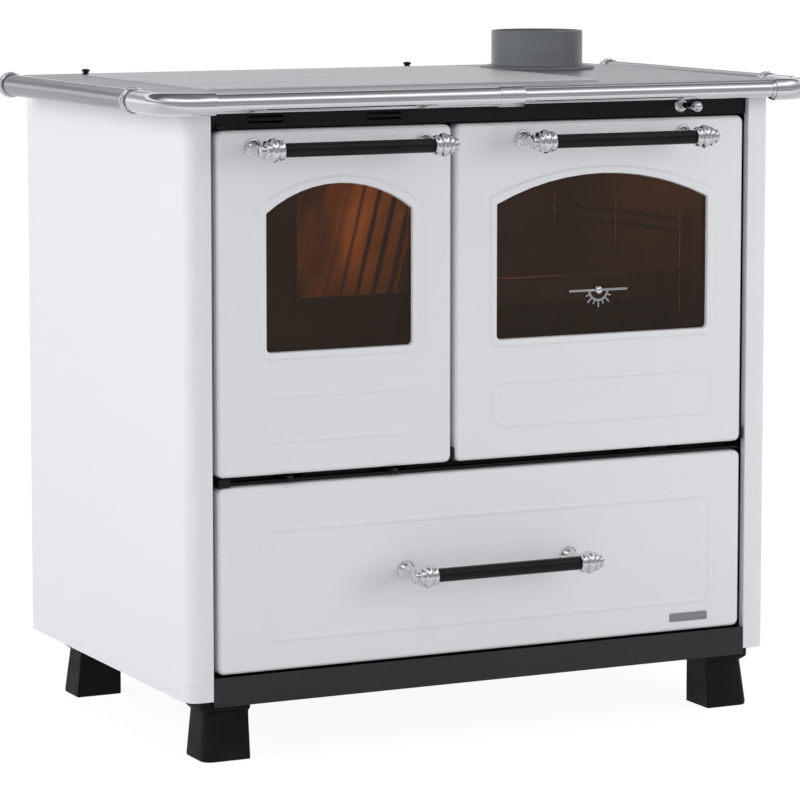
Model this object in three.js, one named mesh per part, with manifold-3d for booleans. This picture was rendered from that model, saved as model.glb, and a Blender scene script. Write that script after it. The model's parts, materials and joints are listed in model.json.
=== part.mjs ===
// A white-enamelled wood cookstove with a firebox door, an oven door and a wood drawer.
// Millimetres, +Z up. The front faces -Y, X runs across it, and the floor is at Z = 0.
import * as THREE from "three";
import { mergeVertices } from "three/addons/utils/BufferGeometryUtils.js";
import Module from "manifold-3d";

const wasm = await Module();
wasm.setup();

// ---------------------------------------------------------------- Driving sizes
// Body
const BODY_WIDTH = 859;
const BODY_DEPTH = 558;
const HOB_TOP = 860;
const FIT = 0.3; // gap left between pieces that rest on, or in, each other
const SHEET = 2; // casing sheet
const FRONT_RETURN = 36; // white strip of a side panel beside the doors
const REAR_RETURN = 25;
const PANEL_CORNER = 19;
const PANEL_HEM = 12;
const PANEL_TOP_GAP = 22; // from the cooking surface down to the side panel's top edge

// Feet and plinth
const FOOT_HEIGHT = 80;
const FOOT_WIDTH = 66;
const FOOT_DEPTH = 60;
const FOOT_CAP = 12;
const FOOT_NECK_INSET = 7;
const FOOT_NECK_DROP = 6;
const FOOT_BASE_INSET = 1;
const FOOT_TOE = 5;
const FOOT_CORNER = 14;
const FOOT_SIDE_INSET = 22.5;
const FOOT_REAR_INSET = 50;
const PLINTH_SHEET = 3;
const PLINTH_DROP = 8; // how far the plinth hangs below the body
const PLINTH_RISE = 30;
const PAN_RISE = 45;

// Back
const BACK_SLOT = { centres: [-220, 0], width: 120, height: 5 };
const BACK_SLOT_ROWS = 5;
const BACK_SLOT_PITCH = 18;
const BACK_SLOT_RISE = 120;
const REAR_COVER_DROP = 110; // from the doors' top edge down to the middle of the rear outlet's cover

// Doors and drawer, as pressed pans
const DOOR_SIDE_GAP = 7;
const DOOR_SPLIT_GAP = 5.4;
const FIREBOX_DOOR_WIDTH = 333;
const DOOR_TOP_DROP = 50.5; // from the cooking surface down to the doors' top edge
const DOOR_DEPTH = 22;
const DOOR_SKIN = 2.5;
const DOOR_ROUND = 7;
const DOOR_CORNER = 9;
const DRAWER_HEIGHT = 242;
const DRAWER_BOTTOM_GAP = 2.5;
const DRAWER_TOP_GAP = 12.5;

// Windows: distances from the edges of their door
const FIREBOX_WINDOW_SIDE = [68.5, 58.5];
const OVEN_WINDOW_SIDE = [60, 57.2];
const WINDOW_BOTTOM = 158.5;
const WINDOW_TOP = 71;
const WINDOW_ARCH_RISE = 36;
const WINDOW_CORNER = 6;
const WINDOW_BORDER = 11;
const WINDOW_BORDER_PROUD = 2;
const GLASS_THICKNESS = 4;
const GLASS_LAP = 12; // how far the glass runs past the window's edge
const GLASS_RIM_WIDTH = 8;
const DOOR_BACK_PLATE = 3;
const DOOR_BACK_INSET = 6;
const DOOR_BACK_SETBACK = 2; // from the pan's rear edge forward to the back plate
const DOOR_SEAL_WIDTH = 10;
const FIREBOX_SEAL = { left: 20, right: 8, top: 14, bottom: 5 };
const OVEN_SEAL = { left: 22, right: 22, top: 22, bottom: 90 };
const SEAL_CORNER = 14;

// Pressed beads below the windows and on the drawer
const BEAD_WIDTH = 8;
const BEAD_PROUD = 1.2;
const BEAD_CORNER = 20;
const DOOR_BEAD_BOTTOM = 40;
const DOOR_BEAD_HEIGHT = 66;
const FIREBOX_BEAD_SIDE = [58, 49];
const OVEN_BEAD_SIDE = [53.5, 42];
const DRAWER_BEAD_SIDE = [59.5, 44];
const DRAWER_BEAD_BOTTOM = 37;
const DRAWER_BEAD_TOP = 54;

// Handles
const HANDLE_LENGTH = 280;
const HANDLE_REACH = 58;
const HANDLE_GRIP_RADIUS = 9;
const HANDLE_CORE_RADIUS = 5;
const FINIAL_LENGTH = 35;
const FINIAL_RADIUS = 15.5;
const HANDLE_TOP_DROP = 22.5; // from a door's top edge down to its handle
const POST_RADIUS = 6;
const ROSETTE_RADIUS = 13;

// Hinges
const HINGE_INSET = 10.5;
const PIN_RADIUS = 4;
const LUG_HALF = 8;
const LUG_HOLE = 4; // depth of the hole in the lug that carries the firebox door
const LUG_THICKNESS = 5;
const LUG_SPAN = [0.8, 4.4]; // the oven door's lugs, from its side edges

// Front frame
const SEAL_THICKNESS = 10; // from a door's back plate to the frame
const FRAME_THICKNESS = 6;
const STRIP_FRONT = 8; // the black vent strip above the doors
const STRIP_HEIGHT = 22;
const STRIP_GAP = 2;
const STRIP_SLOT = [49, 3];
const STRIP_SLOT_INSET = [71.5, 94.5]; // from the firebox door's edges
const STRIP_SLOT_RISE = 6;
const STRIP_SLOT_PITCH = 7;
const BAR_FRONT = 14; // the thin bar between the doors and the drawer
const BAR_THICKNESS = 3.5;
const BAR_GAP = 0.8; // from the drawer's top edge up to the bar
const FIREBOX_MOUTH = { left: 124.5, right: 34, above: 223, below: 45 };
const OVEN_MOUTH = { left: 42, right: 40.5, above: 113, below: 45 };
const MOUTH_CORNER = 8;
const ASH_MOUTH = { side: 3, below: 1, above: 14 };
const DRAWER_MOUTH = { side: 3, below: 5, above: 15 };
const AIR_SLOT_GAP = 3;
const AIR_SLOT_HALF = 2.6;
const OVEN_VENT = [18, 3];
const OVEN_VENT_INSET = [181.5, 133.5, 90.5]; // from the oven door's right edge

// Firebox
const CASING_SHEET = 3;
const FIREBOX_SIDE = [14.5, 6.5]; // from the firebox door's edges to the casing
const FIREBOX_FLOOR = 17; // above the doors' bottom edge
const FIREBOX_TO_BACK = 113.4; // from the casing to the back panel
const SMOKE_PASS_TOP = 85; // height of the smoke way under the hob
const GRATE_LEVEL = 118; // above the doors' bottom edge
const GRATE_THICKNESS = 12;
const GRATE_BARS = 9;
const GRATE_LEDGE = 25;
const GRATE_BORDER = [14, 10];
const GRATE_SLOT_SHARE = 0.44;
const LINER_FOOT = 80;
const LINER_HEAD = 10;
const LINER_RIBS = 8;
const LINER_RIB = 6;
const LINER_SILL = 15;
const BACK_LINER = 24;
const ASH_PAN_HEIGHT = 66;
const ASH_PAN_SIDE = 42;
const ASH_PAN_SETBACK = [3, 40];
const ASH_PAN_TAB = { width: 50, reach: 10, drop: 3 };

// Oven
const OVEN_SIDE = [34, 32.5]; // from the oven door's edges to the oven box
const OVEN_FLOOR = 103; // above the doors' bottom edge
const OVEN_TOP_RISE = 18; // above the foot of the smoke way over the oven
const SMOKE_PASS_SIDE = 24;
const SMOKE_PASS_UNDER = 37;
const SMOKE_PASS_BACK = 32;
const SMOKE_TO_BACK = 55.4; // from the casing to the back panel
const RACK_WIRE = 2;
const RACK_INSET = 8;
const RACK_FOOT = 50; // heights above the oven's floor
const RACK_FIRST = 105;
const RACK_PAIR = 15; // between the two wires of a pair
const RACK_PITCH = 73;
const RACK_PAST = 12;
const RACK_ROOM = 54; // least room from the highest pair to the oven's ceiling
const RACK_SETBACK = 60;
const RACK_WIRES = 3;
const RACK_TIE = 8;
const TRAY_HEIGHT = 38;
const TRAY_RIM = 8;
const TRAY_SHEET = 2;
const TRAY_SETBACK = 20;

// Hob
const HOB_OVERHANG = 8.5;
const HOB_FRONT = 10;
const HOB_FRAME_DROP = 3; // the frame's top lies this far below the cooking surface
const HOB_SKIN = 5;
const HOB_RIM = 15;
const HOB_RIM_SHEET = 4;
const HOB_PLATE = { ring: 25, flue: 11, front: 60, back: 58 };
const HOB_PLATE_THICKNESS = 9.7;
const HOB_PLATE_GAP = 2;
const HOB_LEDGE = 8;
const HOB_LEDGE_THICKNESS = 4;
const HOB_LEDGE_LAP = 6;
const HOB_CORNER = 12;
const HOB_PLATE_CORNER = 6;
const COOK_RING_RADIUS = 125;
const COOK_LID_RADIUS = 73;
const COOK_STEP = 8;
const COOK_STEP_DEPTH = 5;
const COOK_RING_Y = 235;
const COOK_GAP = 0.5;
const LID_NOTCH = { half: 12, y: [-52, -40], depth: 6 };

// Flue
const FLUE_RADIUS = 65;
const FLUE_WALL = 5;
const FLUE_SPIGOT_INSET = 2; // the spigot below the flange is this much slimmer
const FLUE_HEIGHT = 49;
const FLUE_FLANGE_LIP = 17; // how far the flange stands out past the collar
const FLUE_HOLE_GAP = 1;
const FLUE_FLANGE = 5.5;
const FLUE_SIDE_GAP = 16; // from the collar to the smoke casing's walls
const FLUE_BACK_GAP = 12.3;
const CHAMBER_GAP = 13; // from the collar to the flue chamber's walls
const DAMPER_LAP = 5; // how far the disc covers the wall round its hole
const DAMPER_RISE = 1; // from the oven's top up to the disc
const DAMPER_THICKNESS = 4;
const DAMPER_DROP = 4;

// Hand rail
const RAIL_OUT = 38.5; // from the body's side to the side rail's axis
const RAIL_FRONT = 40;
const RAIL_DROP = 14;
const RAIL_RADIUS = 14.5;
const RAIL_WALL = 1.5;
const RAIL_BEND = 50;
const RAIL_JOINT_Y = 75;
const RAIL_END_BACK = 37;
const FRONT_RAIL_STEP = [0.5, 2.5]; // how much slimmer the front rails are than the elbows' bore
const RAIL_STUB = 12; // straight end of an elbow past its bend
const RAIL_LAP = 8; // how far the front rail runs into it
const SLEEVE_X = [-10, 27];
const SLEEVE_WALL = 1;
const BRACKET_LENGTH = 12;
const BRACKET_WALL = 4;
const ARM = { half: 6, below: 4, above: 5 };

// Controls
const BYPASS_FROM_RIGHT = 137;
const BYPASS_RISE = 16; // from the doors' top edge up to the rod
const BYPASS_KNOB_RADIUS = 7;
const BYPASS_KNOB_OUT = 36;
const BYPASS_ROD_RADIUS = 4;
const BYPASS_ROSETTE = { radius: 10, thickness: 4 };
const AIR_KNOB_INSET = [98.5, 85.5]; // from the firebox door's edges
const AIR_KNOB_RADIUS = 4.6;
const AIR_KNOB_OUT = 6;
const AIR_TRAVEL = 30;
const AIR_STEM_RADIUS = 2;
const AIR_STEM_GAP = 0.45; // from the bar up to the stem
const AIR_PLATE = { half: 24, below: 7, above: 12 };
const THERMOMETER_RISE = 58; // from the window's bottom edge up to the dial's hub
const THERMOMETER_RADIUS = 19;
const THERMOMETER_SET = 6; // to the left of the window's middle
const THERMOMETER_PROUD = 1.5;
const THERMOMETER_RING = [12, 15];
const THERMOMETER_BAR = [88, 3];
const THERMOMETER_MARKS = 8;
const THERMOMETER_MARK_WIDTH = 2.2;
const THERMOMETER_HOLE = 4;

// Drawer
const DRAWER_HANDLE_DROP = 3;
const DRAWER_BOX_SIDE = 67.5; // from the body's side to the drawer box
const DRAWER_BOX_BOTTOM = 10;
const DRAWER_BOX_TOP = 27; // from the drawer's top edge down to the box
const DRAWER_TO_BACK = 53.4; // from the drawer box to the back panel
const DRAWER_FLANGE = 11;
const DRAWER_FLANGE_LEVEL = 80;
const RUNNER_WIDTH = 20;
const RUNNER_HEIGHT = 30;
const RUNNER_GAP = 2;

// ---------------------------------------------------------------- Places worked out from them
const sideX = BODY_WIDTH / 2;
const returnX = sideX - FRONT_RETURN;
const doorX = returnX - DOOR_SIDE_GAP;
const fireboxDoor = { left: -doorX, right: -doorX + FIREBOX_DOOR_WIDTH };
const ovenDoor = { left: fireboxDoor.right + DOOR_SPLIT_GAP, right: doorX };
const hingeY = DOOR_ROUND + PIN_RADIUS;
const frameFront = DOOR_DEPTH - DOOR_BACK_SETBACK + SEAL_THICKNESS;
const drawerBottom = FOOT_HEIGHT + PLINTH_RISE + DRAWER_BOTTOM_GAP;
const drawerTop = drawerBottom + DRAWER_HEIGHT;
const doorBottom = drawerTop + DRAWER_TOP_GAP;
const doorTop = HOB_TOP - DOOR_TOP_DROP;
const panelTop = HOB_TOP - PANEL_TOP_GAP;
const hobFrameTop = HOB_TOP - HOB_FRAME_DROP;
const hobRimBottom = hobFrameTop - HOB_RIM;
const hobLedgeTop = HOB_TOP - HOB_PLATE_THICKNESS - FIT;
const frameBack = frameFront + FRAME_THICKNESS;
const behindFrame = frameBack + FIT;
const skinUnder = hobFrameTop - HOB_SKIN - FIT; // the frame and the back panel carry the hob here
const innerTop = hobLedgeTop - HOB_LEDGE_THICKNESS - FIT; // and the inner casings carry its ledge
const backPanelFront = BODY_DEPTH - 2 * SHEET - FIT;
const handleTopZ = doorTop - HANDLE_TOP_DROP;
const hingeZ = doorBottom + DOOR_ROUND + PIN_RADIUS;
const smokeRight = doorX - OVEN_SIDE[1] + SMOKE_PASS_SIDE;
const smokeBack = backPanelFront - SMOKE_TO_BACK;
const flueX = smokeRight - CASING_SHEET - FLUE_SIDE_GAP - FLUE_RADIUS;
const flueY = smokeBack - CASING_SHEET - FLUE_BACK_GAP - FLUE_RADIUS;
const flangeRadius = FLUE_RADIUS + FLUE_FLANGE_LIP;
const railX = sideX + RAIL_OUT;
const railZ = HOB_TOP - RAIL_DROP;
const bypassX = sideX - BYPASS_FROM_RIGHT;
const bypassZ = doorTop + BYPASS_RISE;
const airZ = drawerTop + BAR_GAP + BAR_THICKNESS + AIR_STEM_GAP + AIR_STEM_RADIUS;
const airKnobX = [fireboxDoor.left + AIR_KNOB_INSET[0], fireboxDoor.right - AIR_KNOB_INSET[1]];

// ---------------------------------------------------------------- Finishes
const ENAMEL = { color: 0xdcdde0, roughness: 0.22, metalness: 0 };
const BLACK_PAINT = { color: 0x1c1c1e, roughness: 0.55, metalness: 0.1 };
const PLINTH_PAINT = { color: 0x2b2d30, roughness: 0.5, metalness: 0.1 };
const SOOT_STEEL = { color: 0x2a211c, roughness: 0.8, metalness: 0.3 };
const HOB_STEEL = { color: 0xa9adb0, roughness: 0.4, metalness: 0.85 };
const COLLAR_PAINT = { color: 0x787c7e, roughness: 0.55, metalness: 0.3 };
const CHROME = { color: 0xd8d9dc, roughness: 0.08, metalness: 1 };
const SATIN_STEEL = { color: 0xa6a8ae, roughness: 0.35, metalness: 1 };
const GRIP_BLACK = { color: 0x101011, roughness: 0.4, metalness: 0 };
const GLASS = { color: 0x2a1e15, roughness: 0.05, metalness: 0, transparent: true, opacity: 0.55 };
const ROPE = { color: 0x3a3a38, roughness: 0.95, metalness: 0 };
const IRON = { color: 0x2c2a29, roughness: 0.75, metalness: 0.5 };
const FIRE_CLAY = { color: 0x6b5238, roughness: 0.9, metalness: 0 };
const OVEN_STEEL = { color: 0x4a4643, roughness: 0.45, metalness: 0.7 };
const BARE_STEEL = { color: 0x9b9ea1, roughness: 0.45, metalness: 0.9 };

// ---------------------------------------------------------------- Making solids
const stove = new THREE.Group();

// A closed three.js geometry as a solid that can be joined and cut.
function solidOf(geometry) {
  const loose = geometry.index ? geometry.toNonIndexed() : geometry;
  const bare = new THREE.BufferGeometry();
  bare.setAttribute("position", loose.getAttribute("position"));
  const merged = mergeVertices(bare, 1e-3);
  const triVerts = Uint32Array.from(merged.index.array);
  const vertProperties = merged.getAttribute("position").array;
  const made = new wasm.Manifold(new wasm.Mesh({ numProp: 3, vertProperties, triVerts }));
  if (made.volume() > 0) return made;
  return new wasm.Manifold(new wasm.Mesh({ numProp: 3, vertProperties, triVerts: triVerts.reverse() }));
}

// The solid's own faces as a geometry for a mesh.
function geometryOf(solid) {
  const mesh = solid.getMesh();
  const geometry = new THREE.BufferGeometry();
  const positions = new Float32Array(mesh.vertProperties);
  geometry.setAttribute("position", new THREE.BufferAttribute(positions, 3));
  geometry.setIndex(new THREE.BufferAttribute(new Uint32Array(mesh.triVerts), 1));
  const flat = geometry.toNonIndexed();
  flat.computeVertexNormals();
  return flat;
}

// A named piece in the stove or in one of its groups.
function addPiece(name, solid, finish, parent = stove) {
  const mesh = new THREE.Mesh(geometryOf(solid), new THREE.MeshStandardMaterial(finish));
  mesh.name = name;
  parent.add(mesh);
  return mesh;
}

// Moves every point of a geometry to place(x, y, z), so that shared faces land on the very same numbers.
function placed(geometry, place) {
  const points = geometry.getAttribute("position");
  for (let i = 0; i < points.count; i += 1) {
    points.setXYZ(i, ...place(points.getX(i), points.getY(i), points.getZ(i)));
  }
  return solidOf(geometry);
}

function block([x0, x1], [y0, y1], [z0, z1]) {
  const pick = (at, low, high) => (at < 0 ? low : high);
  const corner = (x, y, z) => [pick(x, x0, x1), pick(y, y0, y1), pick(z, z0, z1)];
  return placed(new THREE.BoxGeometry(1, 1, 1), corner);
}

function joined(first, ...others) {
  return others.reduce((sum, other) => sum.add(other), first);
}

function cut(first, ...others) {
  return others.reduce((rest, other) => rest.subtract(other), first);
}

function grown([low, high], by) {
  return [low - by, high + by];
}

function extruded(points) {
  const shape = new THREE.Shape(points.map(([a, b]) => new THREE.Vector2(a, b)));
  return new THREE.ExtrudeGeometry(shape, { depth: 1, bevelEnabled: false });
}

// Slabs: an outline of [x, y] run up Z, or one of [x, z] run along Y.
function slabZ(points, span) {
  return placed(extruded(points), (x, y, end) => [x, y, span[Math.round(end)]]);
}

function slabY(points, span) {
  return placed(extruded(points), (x, z, end) => [x, span[Math.round(end)], z]);
}

// A turned solid from [radius, height] points, standing on an axis through a centre.
function turned(profile, axis, [x, y, z], segments = 12) {
  const closed = profile.map(([radius, height]) => new THREE.Vector2(radius, height));
  if (profile[0][0] > 0) closed.push(closed[0].clone());
  const geometry = new THREE.LatheGeometry(closed, segments);
  if (axis === "z") geometry.rotateX(Math.PI / 2);
  if (axis === "x") geometry.rotateZ(-Math.PI / 2);
  return solidOf(geometry.translate(x, y, z));
}

function rod(radius, axis, centre, [from, to], segments = 12) {
  return turned([[0, from], [radius, from], [radius, to], [0, to]], axis, centre, segments);
}

function tube(outer, inner, axis, centre, [from, to], segments = 16) {
  return turned([[inner, from], [outer, from], [outer, to], [inner, to]], axis, centre, segments);
}

function arc(cx, cy, radius, from, to, steps) {
  const points = [];
  for (let i = 0; i <= steps; i += 1) {
    const angle = ((from + ((to - from) * i) / steps) * Math.PI) / 180;
    points.push([cx + radius * Math.cos(angle), cy + radius * Math.sin(angle)]);
  }
  return points;
}

function roundedBox([x0, x1], [z0, z1], radius, steps = 4) {
  return [
    ...arc(x1 - radius, z0 + radius, radius, -90, 0, steps),
    ...arc(x1 - radius, z1 - radius, radius, 0, 90, steps),
    ...arc(x0 + radius, z1 - radius, radius, 90, 180, steps),
    ...arc(x0 + radius, z0 + radius, radius, 180, 270, steps),
  ];
}

// A box outline whose top edge is an arc that rises by `rise` above the springing.
function archedBox([x0, x1], [z0, z1], rise, corner) {
  const half = (x1 - x0) / 2;
  const radius = (half * half + rise * rise) / (2 * rise);
  const sweep = (Math.asin(half / radius) * 180) / Math.PI;
  return [
    ...arc(x1 - corner, z0 + corner, corner, -90, 0, 3),
    ...arc((x0 + x1) / 2, z1 - radius, radius, 90 - sweep, 90 + sweep, 12),
    ...arc(x0 + corner, z0 + corner, corner, 180, 270, 3),
  ];
}

// A solid through outlines of equal point counts, one at each height.
function lofted(outlines, heights) {
  const count = outlines[0].length;
  const positions = [];
  outlines.forEach((outline, i) => outline.forEach(([x, y]) => positions.push(x, y, heights[i])));
  return skinned(positions, outlines.length, count);
}

// A solid from rows of points, each row a closed loop, with both ends closed.
function skinned(positions, rows, count) {
  const index = [];
  for (let i = 0; i + 1 < rows; i += 1) {
    for (let j = 0; j < count; j += 1) {
      const a = i * count + j;
      const b = i * count + ((j + 1) % count);
      index.push(a, b, b + count, a, b + count, a + count);
    }
  }
  const last = (rows - 1) * count;
  for (let j = 1; j + 1 < count; j += 1) {
    index.push(0, j + 1, j);
    index.push(last, last + j, last + j + 1);
  }
  const geometry = new THREE.BufferGeometry();
  geometry.setAttribute("position", new THREE.BufferAttribute(new Float32Array(positions), 3));
  geometry.setIndex(index);
  return solidOf(geometry);
}

// ---------------------------------------------------------------- Feet
// A foot spreads on its two outward faces only: below the cap it draws in to a neck and flares to the floor.
function footOutline(inset, side, end) {
  const width = FOOT_WIDTH - inset;
  const depth = FOOT_DEPTH - inset;
  const outline = [
    [0, 0],
    [width, 0],
    ...arc(width - FOOT_CORNER, depth - FOOT_CORNER, FOOT_CORNER, 0, 90, 4),
    [0, depth],
  ];
  const turnedOut = outline.map(([x, y]) => [x * side, y * end]);
  return side * end > 0 ? turnedOut : turnedOut.reverse();
}

function addFoot(name, side, end) {
  const top = FOOT_HEIGHT - FIT;
  const levels = [0, FOOT_TOE, top - FOOT_CAP - FOOT_NECK_DROP, top - FOOT_CAP, top];
  const insets = [FOOT_BASE_INSET, FOOT_BASE_INSET, FOOT_NECK_INSET, 0, 0];
  const foot = addPiece(
    name,
    lofted(insets.map((inset) => footOutline(inset, side, end)), levels),
    BLACK_PAINT,
  );
  const inner = sideX - FOOT_SIDE_INSET - FOOT_WIDTH;
  const front = PLINTH_SHEET + FIT + FOOT_DEPTH;
  const rear = BODY_DEPTH - FOOT_REAR_INSET - FOOT_DEPTH;
  foot.position.set(side * inner, end < 0 ? front : rear, 0);
}

function addFeet() {
  addFoot("foot_front_left", -1, -1);
  addFoot("foot_front_right", 1, -1);
  addFoot("foot_rear_left", -1, 1);
  addFoot("foot_rear_right", 1, 1);
}

// ---------------------------------------------------------------- Casing
// A floor pan with turned-up edges, and the black plinth strip along its front.
function addBaseFrame() {
  const x = sideX - SHEET - FIT;
  const frontX = [-returnX + FIT, returnX - FIT];
  const y = [PANEL_CORNER + FIT, backPanelFront - FIT];
  const floor = [FOOT_HEIGHT, FOOT_HEIGHT + PLINTH_SHEET];
  const walls = [FOOT_HEIGHT, FOOT_HEIGHT + PAN_RISE];
  const strip = [FOOT_HEIGHT - PLINTH_DROP, FOOT_HEIGHT + PLINTH_RISE];
  addPiece(
    "base_frame",
    joined(
      block([-x, x], y, floor),
      block(frontX, [PLINTH_SHEET / 2, y[0] + 1], floor),
      block([-x, -x + SHEET], y, walls),
      block([x - SHEET, x], y, walls),
      block([-x, x], [y[1] - SHEET, y[1]], walls),
      block(frontX, [0, PLINTH_SHEET], strip),
    ),
    PLINTH_PAINT,
  );
}

// One sheet folded round the side: hem, front return, rounded corner, side and rear return.
function addSidePanel(name, side) {
  const inner = PANEL_CORNER - SHEET;
  const outline = [
    [returnX, PANEL_HEM],
    [returnX, 0],
    ...arc(sideX - PANEL_CORNER, PANEL_CORNER, PANEL_CORNER, -90, 0, 7),
    [sideX, BODY_DEPTH],
    [sideX - REAR_RETURN, BODY_DEPTH],
    [sideX - REAR_RETURN, BODY_DEPTH - SHEET],
    [sideX - SHEET, BODY_DEPTH - SHEET],
    ...arc(sideX - PANEL_CORNER, PANEL_CORNER, inner, 0, -90, 7),
    [returnX + SHEET, SHEET],
    [returnX + SHEET, PANEL_HEM],
  ];
  const onSide = outline.map(([x, y]) => [x * side, y]);
  addPiece(name, slabZ(onSide, [FOOT_HEIGHT, panelTop]), ENAMEL);
}

// The back panel has rows of cooling slots, and a round cover over the rear flue outlet.
function addBack() {
  const x = sideX - SHEET - FIT;
  const slots = [];
  for (let row = 0; row < BACK_SLOT_ROWS; row += 1) {
    for (const centre of BACK_SLOT.centres) {
      const z = FOOT_HEIGHT + BACK_SLOT_RISE + row * BACK_SLOT_PITCH;
      const slotX = [centre - BACK_SLOT.width / 2, centre + BACK_SLOT.width / 2];
      slots.push(block(slotX, [backPanelFront - 1, BODY_DEPTH], [z, z + BACK_SLOT.height]));
    }
  }
  const bottom = FOOT_HEIGHT + PLINTH_SHEET + FIT;
  const sheet = block([-x, x], [backPanelFront, backPanelFront + SHEET], [bottom, skinUnder]);
  addPiece("back_panel", cut(sheet, ...slots), BLACK_PAINT);
  const cover = [flueX, backPanelFront + SHEET + FIT, doorTop - REAR_COVER_DROP];
  addPiece(
    "rear_outlet_cover",
    turned([[0, 0], [flangeRadius, 0], [flangeRadius - 1, SHEET], [0, SHEET]], "y", cover, 32),
    BLACK_PAINT,
  );
}

// ---------------------------------------------------------------- Front frame
const fireboxMouth = {
  x: [fireboxDoor.left + FIREBOX_MOUTH.left, fireboxDoor.right - FIREBOX_MOUTH.right],
  z: [doorBottom + FIREBOX_MOUTH.above, doorTop - FIREBOX_MOUTH.below],
};
const casing = {
  x: [fireboxDoor.left + FIREBOX_SIDE[0], fireboxDoor.right - FIREBOX_SIDE[1]],
  floor: doorBottom + FIREBOX_FLOOR,
};
const ashPan = {
  x: [casing.x[0] + ASH_PAN_SIDE, casing.x[1] - ASH_PAN_SIDE],
  z: casing.floor + CASING_SHEET + FIT,
};
const ovenMouth = {
  x: [ovenDoor.left + OVEN_MOUTH.left, ovenDoor.right - OVEN_MOUTH.right],
  z: [doorBottom + OVEN_MOUTH.above, doorTop - OVEN_MOUTH.below],
};
const drawerBox = {
  x: sideX - DRAWER_BOX_SIDE,
  z: [drawerBottom + DRAWER_BOX_BOTTOM, drawerTop - DRAWER_BOX_TOP],
};

function hingeHole(axis, centre, span) {
  return rod(PIN_RADIUS + FIT, axis, centre, span);
}

// Lugs stand out of the frame and hold the pins of both doors.
function hingeLugs() {
  const pinX = fireboxDoor.left + HINGE_INSET;
  const x = [pinX - LUG_HALF, pinX + LUG_HALF];
  const low = [drawerTop + BAR_GAP, doorBottom - STRIP_GAP];
  const high = [doorTop + STRIP_GAP, doorTop + STRIP_GAP + LUG_THICKNESS];
  const z = [hingeZ - LUG_HALF, hingeZ + LUG_HALF];
  const y = [hingeY - LUG_HALF, frameFront + 1];
  const lugs = joined(
    block(x, y, low),
    block(x, y, high),
    block([ovenDoor.left - LUG_SPAN[1], ovenDoor.left - LUG_SPAN[0]], y, z),
    block([ovenDoor.right + LUG_SPAN[0], ovenDoor.right + LUG_SPAN[1]], y, z),
  );
  const upright = [pinX, hingeY, 0];
  const level = [0, hingeY, hingeZ];
  const holes = joined(
    hingeHole("z", upright, [low[1] - LUG_HOLE, low[1] + 1]),
    hingeHole("z", upright, [high[0] - 1, high[1] + 1]),
    hingeHole("x", level, [ovenDoor.left - LUG_SPAN[1] - 1, ovenDoor.left]),
    hingeHole("x", level, [ovenDoor.right, ovenDoor.right + LUG_SPAN[1] + 1]),
  );
  return { lugs, holes };
}

// A channel above the doors with cooling slots, and a thin bar between the doors and the drawer.
function frameStrips() {
  const x = [-returnX + FIT, returnX - FIT];
  const z = [doorTop + STRIP_GAP, doorTop + STRIP_GAP + STRIP_HEIGHT];
  const channel = joined(
    block(x, [STRIP_FRONT, STRIP_FRONT + SHEET], z),
    block(x, [STRIP_FRONT, frameFront + 1], [z[0], z[0] + SHEET]),
    block(x, [STRIP_FRONT, frameFront + 1], [z[1] - SHEET, z[1]]),
  );
  const barBottom = drawerTop + BAR_GAP;
  const bar = block(x, [BAR_FRONT, frameFront + 1], [barBottom, barBottom + BAR_THICKNESS]);
  const slots = [];
  for (const centre of [fireboxDoor.left + STRIP_SLOT_INSET[0], fireboxDoor.right - STRIP_SLOT_INSET[1]]) {
    const slotX = [centre - STRIP_SLOT[0] / 2, centre + STRIP_SLOT[0] / 2];
    for (const row of [0, 1]) {
      const slotZ = z[0] + STRIP_SLOT_RISE + row * STRIP_SLOT_PITCH;
      const slotY = [STRIP_FRONT - 1, STRIP_FRONT + SHEET + 1];
      slots.push(block(slotX, slotY, [slotZ, slotZ + STRIP_SLOT[1]]));
    }
  }
  return joined(cut(channel, ...slots), bar);
}

function addFrontFrame() {
  const x = sideX - 2 * (SHEET + FIT);
  const through = [frameFront - 1, frameBack + 1];
  const plate = block([-x, x], [frameFront, frameBack], [FOOT_HEIGHT + PLINTH_SHEET + FIT, skinUnder]);
  const ashZ = [ashPan.z - ASH_MOUTH.below, ashPan.z + ASH_PAN_HEIGHT + ASH_MOUTH.above];
  const drawerX = drawerBox.x + DRAWER_FLANGE + DRAWER_MOUTH.side;
  const drawerZ = [drawerBox.z[0] - DRAWER_MOUTH.below, drawerBox.z[1] + DRAWER_MOUTH.above];
  const mouths = [
    slabY(roundedBox(fireboxMouth.x, fireboxMouth.z, MOUTH_CORNER), through),
    slabY(roundedBox(ovenMouth.x, ovenMouth.z, MOUTH_CORNER), through),
    block(grown(ashPan.x, ASH_MOUTH.side), through, ashZ),
    block([-drawerX, drawerX], through, drawerZ),
  ];
  for (const knobX of airKnobX) {
    const slotX = [knobX - AIR_SLOT_GAP, knobX + AIR_TRAVEL + AIR_SLOT_GAP];
    mouths.push(block(slotX, through, [airZ - AIR_SLOT_HALF, airZ + AIR_SLOT_HALF]));
  }
  for (const inset of OVEN_VENT_INSET) {
    const centre = ovenDoor.right - inset;
    const ventX = [centre - OVEN_VENT[0] / 2, centre + OVEN_VENT[0] / 2];
    mouths.push(block(ventX, through, [airZ - OVEN_VENT[1] / 2, airZ + OVEN_VENT[1] / 2]));
  }
  const stem = rod(BYPASS_ROD_RADIUS + FIT, "y", [bypassX, 0, bypassZ], [0, frameBack + 2]);
  const { lugs, holes } = hingeLugs();
  const whole = joined(cut(plate, ...mouths), frameStrips(), lugs);
  addPiece("front_frame", cut(whole, stem, holes), BLACK_PAINT);
}

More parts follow.
